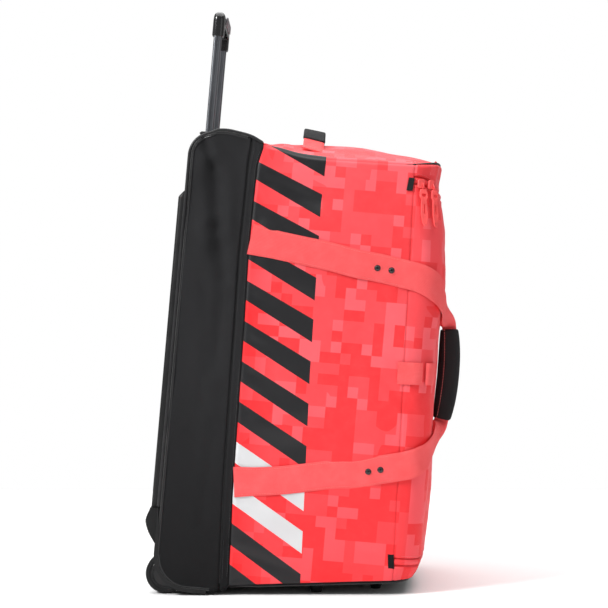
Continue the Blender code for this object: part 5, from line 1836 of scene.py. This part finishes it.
def facing_plate(outline, levels, low, high, lift):
    """A plate on the near side, turned to face out from the skin at its upper end."""
    (a, b), _ = skin_point(*low, SEAT + lift)
    (c, d), facing = skin_point(*high, SEAT + lift)
    first, last = Vector((a, -b, low[1])), Vector((c, -d, high[1]))
    outward, across = Vector((facing[0], -facing[1], 0)), Vector((facing[1], facing[0], 0))
    rings, tall = [], high[1] - low[1]
    for level, inset in levels:
        rings.append([first.lerp(last, (rise * (1 - inset) + 0.5 * inset * tall) / tall)
                      + aside * (1 - 3 * inset) * across + level * outward for aside, rise in outline])
    return rings


def puller_plate(places, out):
    """The moulded puller: a plate drawn in at both faces, with two slots cut through it."""
    long = PULLER_LONG
    side = ((0.0046, 0.10, 0.004), (0.0066, 0.34, 0.010), (0.0060, 0.58, 0.012), (0.0049, 0.715, 0.0025),
            (0.0078, 0.80, 0.003), (0.0074, 0.91, 0.002), (0.0056, 1.0, 0.0015))
    shape = [(a, b * long, r) for a, b, r in side]
    shape = rounded([(0, 0, 0.002)] + shape + [(-a, b, r) for a, b, r in shape[::-1]], 5)
    thick = PULLER_THICK
    levels = ((0.0, 0.03), (0.0006, 0.0), (thick - 0.0006, 0.0), (thick, 0.03))
    plate = closed_mesh(loft(facing_plate(shape, levels, *places, out)))
    thing = added("plate", plate)
    cutters = []
    for wide, high, middle in ((0.0022, 0.018, 0.48), (0.0082, 0.0056, 0.845)):
        slot = rectangle(wide, high, 0.45 * min(wide, high), (0, middle * long), 5)
        mesh = closed_mesh(loft(facing_plate(slot, ((-thick, 0), (2 * thick, 0)), *places, out)))
        cutter = added("slot", mesh)
        cut = thing.modifiers.new("slot", "BOOLEAN")
        cut.operation, cut.solver, cut.object = "DIFFERENCE", "EXACT", cutter
        cutters.append(cutter)
    bpy.context.view_layer.update()
    result = plain(thing)
    for spare in (thing, *cutters):
        bpy.data.objects.remove(spare)
    return result


for number, (share, lift, more) in enumerate(FITTINGS):
    u = share * DEPTH
    high = ZIP_TOP - ZIP_BAND / 2 - 0.0145
    places = (u - 0.0052 + 0.13 * PULLER_LONG, high - PULLER_LONG), (u - 0.0052, high)
    settle(f"zip_puller_{number + 1}_tab", puller_plate(places, lift + 0.0042 + more), "coral_rubber",
           stands_for=(f"zip_puller_{number + 1}",), angle=30)
    middle = ZIP_TOP - ZIP_BAND / 2 - 0.005
    body = rectangle(0.0128, 0.0160, 0.0036, (0, 0.0080), 5)
    levels = ((0.0, 0.02), (0.0006, 0.0), (0.0030, 0.0), (0.0038, 0.04))
    places = (u - 0.0090, middle - 0.0080), (u - 0.0090, middle + 0.0080)
    slider = loft(facing_plate(body, levels, *places, lift + 0.0012))
    settle(f"zip_slider_{number + 1}_body", closed_mesh(slider), "coral_rubber",
           stands_for=(f"zip_slider_{number + 1}",))
    (a, b), facing = skin_point(u - 0.0065, middle, SEAT + lift + 0.0044)
    bail = [(a + facing[0] * 0.0034 * math.sin(t), -b - facing[1] * 0.0034 * math.sin(t),
             middle - 0.0050 - 0.0055 * math.cos(t)) for t in np.linspace(-0.3, math.pi + 0.3, 24)]
    corded(f"zip_bail_{number + 1}", [bail], 0.0009, "coral_rubber", step=0.001, sides=8)
print("zip fittings", len(FITTINGS))

# %% [markdown]
# A black cloth tab closes each end of the zip, on the near side.

# %% Zip end tabs
# Each tab's corners in u and s: lower back, lower front, upper front, upper back
END_TABS = (
    ("top", ((0.3858, 0.7362), (0.3968, 0.7362), (0.3988, 0.7592), (0.3886, 0.7592))),
    ("bottom", ((0.4115, 0.0725), (0.4225, 0.0725), (0.4195, 0.0980), (0.4085, 0.0980))),
)


def tab_mesh(corners, thick=0.0024, steps=10):
    """A soft cloth tab with rounded rims, lying on the near side."""
    rings = []
    for level, inset in ((0.0, 0.03), (0.35, 0.0), (0.7, 0.02), (1.0, 0.10)):
        middle = np.mean(corners, axis=0)
        drawn = [middle + (np.array(spot) - middle) * (1 - inset) for spot in corners]
        ring = []
        for first, last in zip(drawn, drawn[1:] + drawn[:1]):
            for share in np.linspace(0, 1, steps, endpoint=False):
                u, s = first + (last - first) * share
                ring.append((u, -(side_at(u, s) + level * thick - 0.0004), s))
        rings.append(ring)
    return loft(rings)


for word, corners in END_TABS:
    mesh = box_map(closed_mesh(tab_mesh(corners)))
    settle(f"zip_end_tab_{word}_cloth", mesh, "black_cloth", stands_for=(f"zip_end_tab_{word}",))
print("end tabs", len(END_TABS))

# %% [markdown]
# The stage is a pale floor. A small bright panel stands high on the left, a weak one on the right and a
# wide one overhead. The camera stands level with the bag's middle, square to its near side, as a product
# photographer would place it.

# %% Floor, light and camera
FLOOR_REACH, FLOOR_GREY = 1.6, (0.92, 0.92, 0.92, 1)
floor_mesh = bpy.data.meshes.new("floor")
corners = [(a * FLOOR_REACH, b * FLOOR_REACH, 0) for a, b in ((-1, -1), (1, -1), (1, 1), (-1, 1))]
floor_mesh.from_pydata(corners, [], [(0, 1, 2, 3)])
floor = added("floor", floor_mesh)
floor_paint = Paint("floor", Roughness=0.9)
floor_paint.shader.inputs["Base Color"].default_value = FLOOR_GREY
floor_mesh.materials.append(floor_paint.material)

SKY_LIGHT, SKY_SEEN = 0.28, 1.0
world = bpy.data.worlds.new("studio")
world.use_nodes = True
sky = world.node_tree.nodes["Background"]
seen = world.node_tree.nodes.new("ShaderNodeLightPath")
level = world.node_tree.nodes.new("ShaderNodeMapRange")
level.inputs["To Min"].default_value, level.inputs["To Max"].default_value = SKY_LIGHT, SKY_SEEN
world.node_tree.links.new(seen.outputs["Is Camera Ray"], level.inputs["Value"])
world.node_tree.links.new(level.outputs[0], sky.inputs["Strength"])
sky.inputs["Color"].default_value = (1, 1, 1, 1)
bpy.context.scene.world = world
bpy.context.scene.view_settings.view_transform = "Standard"

# Name, place, where it points, size, power
LIGHTS = (
    ("key", (-2.6, -2.0, 2.6), (0, 0, 0.5), 0.9, 140),
    ("fill", (2.4, -2.8, 1.2), (0, 0, 0.5), 2.2, 12),
    ("top", (0.1, 0.3, 3.2), (0, 0, 0.3), 4.5, 168),
)
for name, place, target, size, power in LIGHTS:
    lamp = bpy.data.lights.new(name, "AREA")
    lamp.size, lamp.energy = size, power
    made = added(name, lamp)
    made.location = place
    made.rotation_euler = (Vector(target) - Vector(place)).to_track_quat("-Z", "Y").to_euler()

CAMERA_AT, LENS, SENSOR = (-0.0065, -3.4, 0.512), 107.9, 36
camera_data = bpy.data.cameras.new("camera")
camera_data.lens, camera_data.sensor_width = LENS, SENSOR
camera = added("camera", camera_data)
camera.location = CAMERA_AT
camera.rotation_euler = (math.radians(90), 0, 0)
bpy.context.scene.camera = camera
print("camera", [round(c, 3) for c in camera.location])

# %% [markdown]
# The view layer is brought up to date at the end.

# %% The end
bpy.context.view_layer.update()
